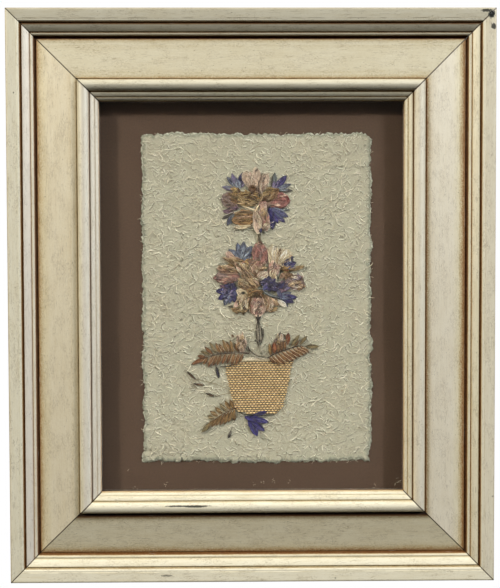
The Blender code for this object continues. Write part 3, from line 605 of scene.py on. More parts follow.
def strand(sheaf, path, half_width, half_height, colour, sides=6, lie_scale=1.0, edge=None, under=0.0):
    """A thread along path (n, 3), flattened by its half height. It may have a tone of its own at both edges, which the
    weave uses as painted shade between its rows, or be darker on the side turned down, as painted shade."""
    path = np.asarray(path, float)
    tangent = np.gradient(path, axis=0)
    tangent /= np.linalg.norm(tangent, axis=1)[:, None] + 1e-9
    side = np.cross(tangent, (0.0, 0.0, 1.0))
    side /= np.linalg.norm(side, axis=1)[:, None] + 1e-9
    up = np.cross(side, tangent)
    turn = np.arange(sides) * 2 * math.pi / sides + math.pi / sides
    wide = np.broadcast_to(half_width, len(path))[:, None, None]
    high = np.broadcast_to(half_height, len(path))[:, None, None]
    rings = path[:, None, :] + side[:, None, :] * wide * np.cos(turn)[None, :, None]
    rings = rings + up[:, None, :] * high * np.sin(turn)[None, :, None]
    colour = np.asarray(colour, float)
    if edge:
        colour = np.where((np.abs(np.cos(turn)) > 0.7)[None, :, None], np.array(edge, float), colour[:, None, :])
    # Painted shade: the side turned down is darkened.
    if under:
        fall = side[:, 1, None] * np.cos(turn)[None, :]
        colour = colour * (1 + under * np.minimum(fall, 0.15))[..., None]
    length = np.concatenate([[0], np.cumsum(np.linalg.norm(np.diff(path, axis=0), axis=1))])
    lie = np.zeros(rings.shape)
    lie[..., 0] = length[:, None] * lie_scale + path[0, 0] * 3
    lie[..., 1] = np.cos(turn)[None, :] * 1.5 + path[0, 1] * 5
    lie[..., 2] = np.sin(turn)[None, :]
    sheaf.add(rings, colour, lie)


SHEET_FIBRES, RIM_HAIRS, FIBRE_HEIGHT = 1450, 90, 11.25
# Long fibres, as a point of the picture and a lean, and lint on the board, as a point and how much.
LONG_FIBRES = ((328, 352, 12), (334, 341, -72), (346, 345, 196), (300, 271, -40), (304, 189, 28), (176, 398, 50),
               (158, 152, -38), (196, 236, 15), (226, 318, 140))
LINT = ((134, 490, 3), (165, 485, 5), (274, 483, 4), (290, 484, 3), (376, 488, 4), (400, 481, 9), (397, 485, 5),
        (262, 484, 4), (404, 470, 2), (128, 470, 2), (255, 485, 3))


def make_fibres():
    """The long pale fibres that stand up from the sheet, and the hairs along its torn rim."""
    draw = random.Random(7)
    sheaf = Sheaf()
    tones = np.array([(174, 169, 150), (186, 181, 163), (160, 155, 136), (150, 145, 126)])

    def fibre(x, z, heading, length, bend, radius, lift, tone, sink=0.0, n=9, sides=4):
        path = np.zeros((n, 3))
        twist = draw.gauss(0, 1.0)
        for k in range(n):
            share = k / (n - 1)
            rise = lift * math.sin(math.pi * share) + 0.1 * rough(x / 2, z / 2, 3.0)
            path[k] = (x, z, FIBRE_HEIGHT + rise - sink)
            heading += (bend + twist * math.cos(2 * math.pi * share)) / n + 0.2 * draw.uniform(-1, 1)
            x += length / n * math.cos(heading)
            z += length / n * math.sin(heading)
        thin = radius * np.sin(math.pi * np.linspace(0.06, 0.94, n)) ** 0.6
        # Each fibre is painted darker on its lower side as its shade.
        strand(sheaf, path, thin, thin * 0.9, tone, sides, under=0.42)

    for _ in range(SHEET_FIBRES):
        x = SHEET_X + draw.uniform(-0.475, 0.475) * SHEET_W
        z = SHEET_Z + draw.uniform(-0.48, 0.48) * SHEET_H
        length = 3.5 + 8.5 * draw.random() ** 1.5
        tone = tones[draw.choice((0, 1, 2, 2, 3, 3))] + draw.uniform(-6, 6)
        radius = draw.uniform(0.3, 0.52)
        # Most lie nearer to level than upright.
        heading = draw.gauss(0, 0.75) + draw.choice((0, math.pi))
        fibre(x, z, heading, length, draw.gauss(0, 0.5), radius, draw.uniform(0.15, 0.4), tone, 0.16, 8, 6)
    for _ in range(RIM_HAIRS):
        t = draw.uniform(-0.5, 0.5)
        side = draw.choice("lrbt")
        sign = 1 if side in "rt" else -1
        if side in "lr":
            x, z = SHEET_X + sign * (SHEET_W / 2 - 0.8), SHEET_Z + t * SHEET_H * 0.98
            heading = (0 if sign > 0 else math.pi) + draw.uniform(-1.2, 1.2)
        else:
            x, z = SHEET_X + t * SHEET_W * 0.98, SHEET_Z + sign * (SHEET_H / 2 - 0.8)
            heading = sign * math.pi / 2 + draw.uniform(-1.2, 1.2)
        fibre(x, z, heading, draw.uniform(1.5, 4.0), draw.gauss(0, 1.2), draw.uniform(0.1, 0.22), 0.0,
              tones[1], draw.uniform(0.3, 0.6))
    # A few long ones that catch the light.
    for px, py, lean in LONG_FIBRES:
        fibre(*place(px, py), math.radians(lean), draw.uniform(9.0, 13.0), draw.gauss(0, 0.6), 0.36, 0.45,
              tones[1] + 8, 0.1, 12, 6)
    # Loose white lint on the board, by the sheet's foot and sides.
    for px, py, amount in LINT:
        x0, z0 = place(px, py)
        for _ in range(amount):
            x, z = x0 + draw.gauss(0, 1.6), z0 + draw.gauss(0, 1.2)
            fibre(x, z, draw.uniform(0, 6.28), draw.uniform(0.8, 2.6), draw.gauss(0, 2), 0.14, 0.1, tones[1], 0.85)
    piece = sheaf.build("paper_fibres", dry_looks("fibre", 0.9, (0.2, 1.0, 1.0), 500.0, 0.03))
    settle(piece, "handmade_paper")


# ---------------------------------------------------------------- the woven pot

POT = ((225, 366), (232, 399), (235, 410), (242, 413), (275, 414.5), (283, 407), (284.5, 398), (288.2, 385),
       (290.9, 368.5), (294, 359.5), (239, 360))
WEFT, WARP, WEAVE_HEIGHT = 2.04, 1.5, 11.98
# How far under its top edge the first row lies, and the steps along a row and a column.
FIRST_ROW, ROW_STEP, COLUMN_STEP = 0.9, 0.37, 0.42
# Loose ends at the sides, and pale threads frayed out of the top with their half widths: both ends of each, as points
# of the picture.
LOOSE_ENDS = ((233.5, 402, 226.5, 400), (232.8, 405, 229, 409), (239, 413, 236.5, 418), (236, 411, 231.5, 415),
              (284, 404, 287.5, 406), (250, 414, 249, 417.5), (281, 411, 284.5, 414), (226, 368, 222, 367))
FRAYED_TOP = ((239.4, 360.2, 252, 358.6, 0.55), (249, 359.6, 264, 358.2, 0.5), (262, 358.8, 278, 359.4, 0.35),
              (284, 359.6, 294.4, 358.4, 0.5), (241, 358.4, 257, 357.2, 0.3))


def make_pot():
    corners = [place(*c) for c in POT]
    sides = list(zip(corners, corners[1:] + corners[:1]))
    area = 0.5 * abs(sum(a[0] * b[1] - b[0] * a[1] for a, b in sides))
    draw = random.Random(3)

    def span(level, axis):
        """Where a straight line at this level crosses the outline."""
        hits = []
        for a, b in sides:
            lo, hi = sorted((a, b), key=lambda c: c[axis])
            if lo[axis] <= level < hi[axis]:
                share = (level - lo[axis]) / (hi[axis] - lo[axis])
                hits.append(lo[1 - axis] + share * (hi[1 - axis] - lo[1 - axis]))
        return (min(hits), max(hits)) if len(hits) > 1 else None

    sheaf = Sheaf()
    (left, right), (low, high) = ((min(levels), max(levels)) for levels in zip(*corners))
    for row in range(int((high - low) / WEFT) + 1):
        z = high - FIRST_ROW - row * WEFT
        reach = span(z, 1)
        if not reach:
            continue
        x0, x1 = reach[0] - draw.uniform(-0.3, 0.8), reach[1] + draw.uniform(-0.3, 0.8)
        x = np.arange(x0, x1, ROW_STEP)
        phase = math.pi * ((x - left) / WARP + row)
        stray = np.array([0.06 * rough(a / 3.1, row * 7.3) for a in x])
        drift = 0.25 * np.sin(x / 13) + 0.05 * np.sin(x / 9 + row * 1.7) + stray
        path = np.stack([x, z + drift, WEAVE_HEIGHT + 0.16 * np.cos(phase)], axis=1)
        plump = 1 + 0.07 * np.cos(phase) + np.array([0.1 * rough(a / 1.4, row * 3.7, 2.0) for a in x])
        shade = np.array([rough(a / 4.0, row * 5.1, 9.0) for a in x])
        # Painted highlight: the weft is paler where it rises over the warp.
        crown_highlight = (0.5 + 0.5 * np.cos(phase))[:, None] ** 0.5
        tone = np.array((102, 78, 44)) + crown_highlight * np.array((100, 97, 84)) + shade[:, None] * np.array((20, 20, 19))
        if row == 0:
            tone = tone * 0.3 + np.array((150, 146, 128)) * 0.7
        # The weft's edges are near black, as painted shade in the gaps between rows.
        strand(sheaf, path, 0.8 * plump, 0.3, tone, 8, 0.6, (36, 20, 6))
    for column in range(int((right - left) / WARP)):
        x = left + (column + 0.5) * WARP
        reach = span(x, 0)
        if not reach:
            continue
        z = np.arange(reach[0] - draw.uniform(-0.2, 0.7), reach[1] + draw.uniform(-0.2, 0.3), COLUMN_STEP)
        if len(z) < 4:
            continue
        phase = math.pi * ((high - FIRST_ROW - z) / WEFT + (x - left) / WARP - 0.5)
        lean = 0.12 * np.sin(z / 11 + column)
        path = np.stack([x + lean, z, WEAVE_HEIGHT - 0.24 - 0.1 * np.cos(phase)], axis=1)
        # The warp threads are dark brown: partly their own colour, partly painted shade in the gaps between rows.
        strand(sheaf, path, 0.28, 0.12, (54, 34, 14), 6, 0.6)
    for px, py, tx, ty in LOOSE_ENDS:
        (x0, z0), (x1, z1) = place(px, py), place(tx, ty)
        share = np.linspace(0, 1, 8)[:, None]
        path = np.array((x0, z0, 11.7)) + share * np.array((x1 - x0, z1 - z0, -0.1))
        path[:, 1] += 0.4 * np.sin(share[:, 0] * 4)
        strand(sheaf, path, 0.16, 0.12, (136, 126, 102), 5)
    for px, py, tx, ty, half in FRAYED_TOP:
        (x0, z0), (x1, z1) = place(px, py), place(tx, ty)
        share = np.linspace(0, 1, 10)
        stray = np.array([0.3 * rough(s * 4, px) for s in share])
        path = np.stack([x0 + share * (x1 - x0), z0 + share * (z1 - z0) + stray, np.full(10, 12.2)], axis=1)
        strand(sheaf, path, half * np.sin(math.pi * np.linspace(0.12, 0.9, 10)) ** 0.5, 0.2, (184, 176, 154), 6)
    piece = sheaf.build("pot_weave", dry_looks("burlap", 0.88, (0.7, 2.6, 1.0), 600.0, 0.05, 0.15))
    settle(piece, "woven_cloth", "pot_cloth")
    width, height = (right - left + 1) * MM, (high - low + 1) * MM
    area * MM * MM


# ---------------------------------------------------------------- petals and leaves

# The height of the lowest layer and of each further one, before what lies above a height is pressed to a share.
LAYER_0, LAYER_STEP = 11.6, 0.55
PRESSED_ABOVE, PRESSED_SHARE = 11.7, 0.6
PETAL_THICKNESS = 0.14
SEEDS = itertools.count(1)


def petal(sheaf, at, lean, length, width, layer, tones, seed=0.0, belly=1.25, blunt=0.55, veins=7, curl=0.42,
          ruffle=0.06, spot=None, steps=32, sides=13, sway=0.0, vein_depth=0.2):
    """One dry petal from its foot at (x, z). tones are foot, middle, tip and rim, or their name. A spot is where it
    lies along and across, its radius and its colour."""
    foot, middle, tip, rim = TONES[tones] if isinstance(tones, str) else tones
    height = LAYER_0 + layer * LAYER_STEP
    cos, sin = math.cos(math.radians(lean)), math.sin(math.radians(lean))
    grid = (1 - np.cos(np.linspace(0.06, math.pi - 0.06, steps))) / 2
    across = np.linspace(-1, 1, sides)
    front, colour, lie = (np.zeros((steps, sides, 3)) for _ in range(3))
    for i, u in enumerate(grid):
        half = width / 2 * max(0.0, math.sin(math.pi * u**belly)) ** blunt
        for j, v in enumerate(across):
            edge = half * (1 + ruffle * 1.6 * rough(u * 7, seed, 2.0 + math.copysign(1, v)))
            y = v * edge + sway * math.sin(math.pi * u) * length
            x = length * u * (1 + ruffle * 0.9 * rough(v * 3.3, seed, 6.0) * u**3)
            vein = rough(v * veins * 0.8, u * 1.3, seed)
            lift = curl * (abs(v) ** 2.2 - 0.3) * math.sin(math.pi * min(1, u * 1.05)) + vein_depth * vein
            lift += 0.16 * rough(u * 3, v * 1.4, seed + 4)
            lift += 0.24 * rough(x / 1.9, y / 1.3, seed + 2) * min(1.0, width / 9)
            front[i, j] = (at[0] + x * cos - y * sin, at[1] + x * sin + y * cos, height + 0.15 + lift)
            tone = foot + (middle - foot) * min(1, u * 2) if u < 0.5 else middle + (tip - middle) * (u * 2 - 1)
            tone = tone * (1 + 0.26 * rough(v * veins, u * 2.2, seed + 7) + 0.16 * rough(u * 4, v * 3, seed + 11))
            # Painted light and shade that follow the relief of the veins: paler where they rise, a dark line along each
            # fold.
            tone = tone * (1 + 0.35 * max(0.0, vein) - 0.36 * max(0.0, 1 - abs(vein) / 0.13))
            border = max(0.0, (abs(v) - 0.72) / 0.28, (u - 0.9) / 0.1)
            tone = tone + (rim - tone) * min(1, border) ** 1.5 * 0.85
            if spot:
                su, sv, radius, *stain = spot
                gap = math.hypot((u - su) * length, (v - sv) * half) / radius
                tone = tone + (np.array(stain, float) - tone) * max(0.0, min(1.0, 1.5 - gap))
            colour[i, j] = tone
            lie[i, j] = (x * 0.35 + seed, v * veins * 0.9 + seed * 3, seed)
    back = front[:, ::-1].copy()
    back[..., 2] -= PETAL_THICKNESS
    colour = np.clip(np.concatenate([colour, colour[:, ::-1] * 0.8], axis=1), 4, 250)
    sheaf.add(np.concatenate([front, back], axis=1), colour, np.concatenate([lie, lie[:, ::-1]], axis=1))


def blade(s, x0, y0, x1, y1, width, layer, tones, **more):
    """A petal, lobe or leaflet from one point of the picture to another."""
    (a0, b0), (a1, b1) = place(x0, y0), place(x1, y1)
    lean = math.degrees(math.atan2(b1 - b0, a1 - a0))
    petal(s, (a0, b0), lean, math.hypot(a1 - a0, b1 - b0), width * POINT, layer, tones, next(SEEDS) * 1.7, **more)


def broad(s, *values, **more):
    """A wide petal with a crumpled face."""
    blade(s, *values, **{**dict(belly=1.3, blunt=0.48, veins=9, ruffle=0.13, curl=0.4), **more})


def floret(s, x, y, layer, *tips):
    """A floret's pointed lobes from one foot: each is tip, width and tones."""
    for k, (tx, ty, width, tones) in enumerate(tips):
        blade(s, x, y, tx, ty, width, layer + 0.14 * (k % 4), tones, belly=1.35, blunt=0.75, veins=4, curl=0.4,
              steps=20, sides=9, vein_depth=0.12)


def leaf(s, x0, y0, x1, y1, width, layer, tones):
    """A leaflet with a dark outline, a raised pale midrib and edges that have curled up."""
    blade(s, x0, y0, x1, y1, width, layer, tones, belly=1.05, blunt=0.7, veins=4, curl=0.6, ruffle=0.08, steps=18,
          sides=9, vein_depth=0.08)
    (a0, b0), (a1, b1) = place(x0, y0), place(x1, y1)
    height = LAYER_0 + layer * LAYER_STEP + 0.1
    path = [(a0, b0, height), ((a0 + a1) / 2, (b0 + b1) / 2, height + 0.08),
            (a0 + 0.85 * (a1 - a0), b0 + 0.85 * (b1 - b0), height)]
    strand(s, path, (0.26, 0.24, 0.1), 0.2, TONES[tones][0] * 0.4 + np.array((190, 156, 112)) * 0.6, 5)


def crumple(s, x, y, half_x, half_y, lean, count, layer, *tones, long=(4.0, 9.0), wide=(1.6, 3.4), spread=22.0):
    """Small creased slivers of dry petal, strewn over an oval and lying about one way (degrees, up from the right)."""
    draw = random.Random(int(x * 7 + y * 13 + count))
    for k in range(count):
        r, a = math.sqrt(draw.random()), draw.uniform(0, 2 * math.pi)
        cx, cy = x + half_x * r * math.cos(a), y + half_y * r * math.sin(a)
        way = math.radians(lean + draw.gauss(0, spread))
        reach = draw.uniform(*long) / 2
        dx, dy = reach * math.cos(way), -reach * math.sin(way)
        tone = TONES[tones[k % len(tones)]] * draw.choice((0.68, 0.88, 1.0, 1.08, 1.16, 1.28))
        blade(s, cx - dx, cy - dy, cx + dx, cy + dy, draw.uniform(*wide), layer + 0.7 * k / count, tone, belly=1.0,
              blunt=0.6, veins=3, curl=0.5, ruffle=0.2, steps=9, sides=5, sway=draw.uniform(-0.14, 0.14))


def line(s, height, points, half_widths, colour, half_height=0.3):
    """A stalk or hair through points of the picture, rounded between them."""
    places = np.array([place(*p) for p in zip(points[::2], points[1::2])])
    last = len(places) - 1
    share = np.linspace(0, last, 6 * len(places))
    x, z = (np.interp(share, range(len(places)), values) for values in places.T)
    if last > 1:
        ease = np.array([0.25, 0.5, 0.25])
        for _ in range(3):
            x[1:-1], z[1:-1] = np.convolve(x, ease, "valid"), np.convolve(z, ease, "valid")
    wide = np.interp(share, np.linspace(0, last, len(half_widths)), half_widths)
    path = np.stack([x, z, np.full(len(x), height)], axis=1)
    strand(s, path, wide, np.minimum(wide, half_height), colour)


MAKERS = {"blade": blade, "broad": broad, "floret": floret, "leaf": leaf, "crumple": crumple, "line": line}


def number(word):
    if word[0].isalpha():
        return word
    return float(word) if "." in word else int(word)


def lists(text):
    """Lists of numbers and names, with a slash between them."""
    return [[number(word) for word in part.split()] for part in text.split("/")]


def read(row):
    """A part from a row of a table: its maker, what it takes (a list after each slash) and its options."""
    maker, *words = row.split()
    first, *rest = lists(" ".join(word for word in words if "=" not in word))
    options = {}
    for key, text in (word.split("=") for word in words if "=" in word):
        values = [number(value) for value in text.split(",")]
        options[key] = values if len(values) > 1 else values[0]
    return MAKERS[maker], (*first, *rest), options


def piece(name, slot, node, parts, pressed=PRESSED_ABOVE):
    """One piece of the picture, in place of a node of the model if it has one. Its layers lie pressed close on
    each other above a height."""
    sheaf = Sheaf()
    for make, values, options in parts:
        make(sheaf, *values, **options)
    for points in sheaf.points:
        rise = points[:, 2] - pressed
        points[:, 2] = np.where(rise > 0, pressed + PRESSED_SHARE * rise, points[:, 2])
    settle(sheaf.build(name, DRY, STUDIO_GAIN), slot, *([] if node == "-" else [node]))


def pieces(table):
    """The pieces of a table: under a head of name, slot, node and perhaps where it is pressed, a row for each part,
    which goes on in lines that start with a space. The points are the picture's. After its maker a row says:
    blade, broad, leaf: foot, tip, width, layer, tones; floret: foot, layer / tip, width, tones of each lobe;
    crumple: middle, half sizes, lean, count, layer, tones; line: height / points / half widths / colour."""
    for block in table.strip().split("\n\n"):
        head, *rows = block.replace("\n ", " ").split("\n")
        name, slot, node, *pressed = head.split()
        piece(name, slot, node, [read(row) for row in rows], *map(float, pressed))


# The colours are read as they look under the lamps, which are brighter than white on the sheet.
STUDIO_GAIN = 0.585
# Tones of foot, middle, tip and rim.
TONES = {name: np.array(colours, float).reshape(4, 3) for name, *colours in lists("""
INK 40 36 74 62 56 110 44 38 84 28 26 48 /
DEEP 34 30 70 44 36 104 38 30 92 26 24 52 /
NIGHT 30 28 58 44 42 84 34 32 66 22 22 40 /
BLUE 72 74 110 92 96 138 70 72 114 44 48 76 /
SLATE 110 118 130 104 112 130 72 78 98 46 50 64 /
STEEL 92 102 126 112 124 146 84 92 120 54 60 84 /
TEAL 112 120 114 108 116 116 80 88 88 52 58 56 /
MIST 150 164 172 156 168 178 138 150 166 110 120 138 /
LILAC 142 134 152 128 118 148 92 82 122 58 50 84 /
PINK 150 128 110 178 154 134 190 168 148 222 210 186 /
SHELL 150 120 104 170 138 122 184 154 138 204 184 160 /
ROSE 122 90 80 136 92 86 140 88 82 112 54 50 /
DUSTY 150 108 98 160 112 102 152 104 96 136 96 86 /
MAUVE 128 106 100 136 114 108 128 108 102 104 86 80 /
PLUM 112 84 96 122 94 110 108 82 98 78 60 74 /
TAN 124 99 70 158 132 98 176 150 114 202 182 144 /
OLIVE 92 70 38 126 102 62 142 118 78 172 154 110 /
GOLD 98 72 30 132 102 54 142 112 62 172 148 98 /
UMBER 64 40 16 92 60 28 104 72 38 134 104 66 /
ORANGE 140 106 68 158 118 76 152 116 74 146 118 80 /
CREAM 180 162 128 200 184 150 204 190 160 222 212 186 /
IVORY 208 198 176 222 212 192 226 218 200 232 226 210 /
BROWN 88 60 36 112 82 52 126 94 62 150 124 90 /
SALMON 142 108 84 172 138 114 178 146 122 196 170 144 /
DUSK 66 60 54 82 76 70 68 64 60 46 44 40 /
RED_LEAF 100 60 24 122 74 30 102 58 22 26 14 4 /
BROWN_LEAF 88 54 20 108 69 28 90 56 22 26 16 6 /
TAN_LEAF 116 86 42 138 106 54 118 88 44 50 34 14 /
GREEN_LEAF 92 80 48 120 108 72 102 90 56 54 42 24 /
RUST_LEAF 112 58 24 130 66 26 112 54 22 56 26 8 /
HUSK 98 63 24 124 84 36 102 65 26 24 14 4 /
HOLE 16 12 8 16 12 8 16 12 8 16 12 8 /
BLOOM 40 34 94 52 45 126 42 36 108 22 18 52
""")}
for name, source, share in (("FADED_PINK", "PINK", 1.04), ("DIM_TEAL", "TEAL", 0.85), ("DIM_BLUE", "BLUE", 0.8),
                            ("DARK", "NIGHT", 0.45)):
    TONES[name] = TONES[source] * share

TOP_BALL_LOWER_LAYERS = """
top_floret_grey_blue grey_florets top_floret_grey
floret 238.5 190.5 0 / 222.4 187.4 4.6 LILAC / 227.2 177.4 4.6 SLATE / 232.1 173.8 4.8 LILAC / 236.6 178.4 3.6 STEEL /
    242.8 173 5.4 INK / 246.4 179.6 4.6 LILAC
blade 240 190 237.6 180.6 5.6 0.5 MIST
blade 237 189 232.4 182.4 2.4 0.55 MIST
blade 241.6 188 240.6 178.2 2 0.6 NIGHT
blade 233 189.4 225.6 186.8 1.6 0.4 MIST
blade 236 187 229.4 179.6 1.4 0.5 NIGHT

top_floret_deep_violet blue_florets top_floret_violet
floret 273 191.5 0 / 275.1 173.2 5.6 TEAL / 286.8 176.1 6.4 DEEP / 280.4 179.4 3.6 LILAC / 291.2 184.3 4.6 SLATE /
    292.5 190.9 4.2 DUSK / 285 187.6 4 NIGHT
blade 272.6 190 274.6 181.4 2.6 0.5 LILAC
blade 276 189 285.6 185.4 1.4 0.6 MIST
blade 270.6 190 273.4 176.4 1.4 0.5 DUSK
blade 279 191 288.4 190.2 1.2 0.6 MIST

top_floret_indigo_blue blue_florets top_floret_indigo
floret 271.4 209 0 / 290.8 210.4 3 TEAL / 288.2 217 5.2 BLUE / 285 222.9 5.4 INK / 278 223.6 4.6 DEEP / 272.7 229.8
    6.6 DEEP
blade 271 207 281.4 212.4 6.6 0.5 BLUE
blade 269.6 207 270.6 220.6 5.6 0.5 DEEP
blade 272 210 283.4 219.6 1.8 0.6 STEEL
blade 274 208 285 211.6 1.6 0.6 MIST
blade 271.6 211 275.6 222.4 1.4 0.6 NIGHT

top_floret_slate_grey grey_florets top_floret_slate
floret 235 212.6 0 / 222.2 218.9 3.6 DUSK / 227.2 225.5 5.2 SLATE / 231.4 224.4 4.4 TEAL / 222.8 211.2 4.4 PLUM
line 12.5 / 221.8 216.4 228 214.6 233.4 212.2 / 0.2 0.4 0.2 / 206 200 186
blade 232 216 228.4 223.4 1.4 0.5 NIGHT

top_pink_left pale_petals top_petal_pink_left
broad 251 189 245.2 171.6 10.4 1 PINK
blade 251.6 188 250.4 172.6 4.6 1.3 SHELL
crumple 248.6 181 2.6 5.4 105 5 1.3 PINK SHELL
line 13.3 / 243.4 172.4 247.4 173.2 251.6 177.4 / 0.2 0.4 0.25 / 214 204 182

top_pink_right pale_petals top_petal_pink_right
broad 260.4 194 267.2 173.6 10 1 PINK
blade 261.6 193 264.6 175.6 4.6 1.3 SHELL
crumple 265 184 2.4 6 75 6 1.3 PINK SHELL
line 13.2 / 263 174.2 268 174.8 272.6 173.2 / 0.2 0.35 0.2 / 214 204 182

top_pink_middle pale_petals top_petal_pink_middle
broad 256.6 197 256.9 168.8 11.6 2 PINK spot=0.93,0.1,1.3,60,44,32
crumple 256.4 181 2.6 6 92 5 2.3 PINK SHELL
line 14.3 / 262.4 173.6 261.4 179 258.2 185 258.8 191 260 196.6 / 0.3 0.45 0.35 0.6 0.4 / 66 40 22
line 14.1 / 260.6 184 261 190 262.6 196 / 0.5 0.7 0.3 / 198 178 154
"""

TOP_BALL_UPPER_LAYERS = """
top_olive_left tan_petals top_petal_olive_left
broad 259 202 231 196 15 3 UMBER belly=1
blade 238.4 194 233.6 187.4 4 3.6 OLIVE
blade 241 194 237.4 188.2 3 3.7 UMBER
crumple 248 198.6 10.5 7.4 165 50 3.3 OLIVE TAN UMBER OLIVE TAN GOLD wide=1.1,2.5
crumple 237 196 5.4 6 150 20 3.3 UMBER OLIVE GOLD
line 14.35 / 256 200 247 193.5 240.6 195 239.4 199 / 0.2 0.36 0.2 / 170 146 96
line 14.35 / 258 203 246 199.6 241 203.4 / 0.2 0.36 0.2 / 188 162 106
line 14.35 / 257 206 246 206.6 239 205.4 / 0.2 0.36 0.2 / 170 146 96
line 14.35 / 238 189 234 192.4 232.6 196 / 0.2 0.36 0.2 / 188 162 106
line 14.35 / 251 196 244 196.4 242 200 / 0.2 0.36 0.2 / 170 146 96
line 14.4 / 248 195.4 253 196.2 258 198.4 / 0.3 0.5 0.3 / 58 34 14

top_olive_right tan_petals top_petal_olive_right
broad 260.5 203 278.4 190.4 11 3 UMBER belly=1
crumple 269 194.6 6.6 5.4 38 34 3.2 GOLD UMBER OLIVE TAN GOLD wide=1.1,2.5
blade 260.6 202 270.4 197.4 2.6 3.9 UMBER
blade 259 204 263 195.4 2.4 3.9 TAN
line 14.2 / 266 188.6 271.6 188.8 277 190.2 / 0.25 0.4 0.2 / 176 148 88

top_mauve mauve_petals top_petal_mauve
broad 241 200 221.8 200.4 16.5 2 MAUVE belly=1.2
crumple 230.4 199.4 6.4 6 175 24 2.3 MAUVE BROWN MAUVE
crumple 234.4 207.8 6 2.8 15 14 2.2 PLUM MAUVE PLUM

top_orange tan_petals top_petal_orange
broad 255.6 217 233.2 219.4 17 2 ORANGE belly=0.95 veins=12 vein_depth=0.24
crumple 244.4 217.6 6 6.4 4 40 2.3 ORANGE UMBER SALMON GOLD ORANGE spread=5 long=8,15 wide=1,2
blade 254 212 234 213.4 3.4 2.7 TAN
blade 253.4 225.4 234.2 227.2 4 2.6 CREAM sway=0.06
line 13 / 234 228.6 240 229.6 246 228.6 252.4 225.6 / 0.3 0.4 0.3 / 70 54 30

top_rose rose_petals top_petal_rose
broad 265 201.6 289.6 200.4 15.5 1 ROSE belly=1.4
crumple 277.4 200.6 8.4 5.4 12 26 1.4 ROSE DUSTY ROSE SHELL
crumple 265.6 205.4 5.4 2.4 20 12 2.6 MAUVE SHELL DUSTY
line 12.7 / 286.8 195.6 288.4 199 287.4 203 / 0.3 0.7 0.3 / 128 36 34

top_pink_lower pale_petals top_petal_pink_lower
broad 262 203 266.4 231.6 10 4 SHELL belly=1.2
broad 255.8 207 258.2 233.4 9.2 4.4 FADED_PINK belly=1.5
line 15 / 257.6 211 261.2 217 263.2 224 262.8 231 / 0.4 0.5 0.3 / 118 90 72
crumple 258.2 221 2.4 8 95 7 4.2 PINK CREAM
crumple 264.8 215 3.6 8 80 16 4.2 SHELL DUSTY TAN MAUVE
crumple 265 226.6 3.6 2.6 20 10 4.4 PINK BROWN CREAM
line 15 / 243.6 207 249 208.6 254.6 210.8 / 0.4 0.8 0.6 / 232 212 174
line 15 / 259.2 205.2 257.2 208.6 255 212.4 / 0.4 0.8 0.6 / 232 212 174
line 15.1 / 255.4 211.6 259 216.4 262.4 223 / 0.3 0.4 0.3 / 206 190 162
line 15 / 266.2 212 266.4 218 266 224 / 0.5 0.5 0.3 / 140 116 78
blade 261.4 228.4 260.4 233 3.4 5 NIGHT steps=12 sides=5
"""


def calyx():
    """The curled ring in the top ball, with spokes in it and one bent sepal under it."""
    x0, z0 = place(252.6, 189.0)
    turn = np.linspace(0, 2 * math.pi, 22)
    ring = np.stack([x0 + 3.0 * np.cos(turn), z0 + 2.5 * np.sin(turn), 14.4 + 0.25 * np.sin(3 * turn)], axis=1)
    parts = [read("blade 248.6 189.2 256.8 188.8 7.4 4.4 UMBER"),
             (strand, (ring, 0.85 + 0.25 * np.sin(2 * turn), 0.4, (84, 52, 22), 7), {})]
    for a in range(9):
        c, d = math.cos(a * 0.7), math.sin(a * 0.7)
        path = [(x0 + 0.4 * c, z0 + 0.4 * d, 14.2), (x0 + 2 * c, z0 + 1.7 * d, 14.5),
                (x0 + 3.8 * c, z0 + 3.1 * d, 14.2)]
        parts.append((strand, (path, (0.3, 0.5, 0.2), 0.25, (56, 30, 12) if a % 2 else (120, 80, 40), 5), {}))
    sepal = [(x0 - 1.4, z0 - 2.4, 14.4), (x0 - 0.8, z0 - 3.9, 14.5), (x0, z0 - 5.0, 14.3)]
    piece("top_calyx", "tan_petals", "-", [*parts, (strand, (sepal, 0.8, 0.5, (52, 28, 12), 6), {})])


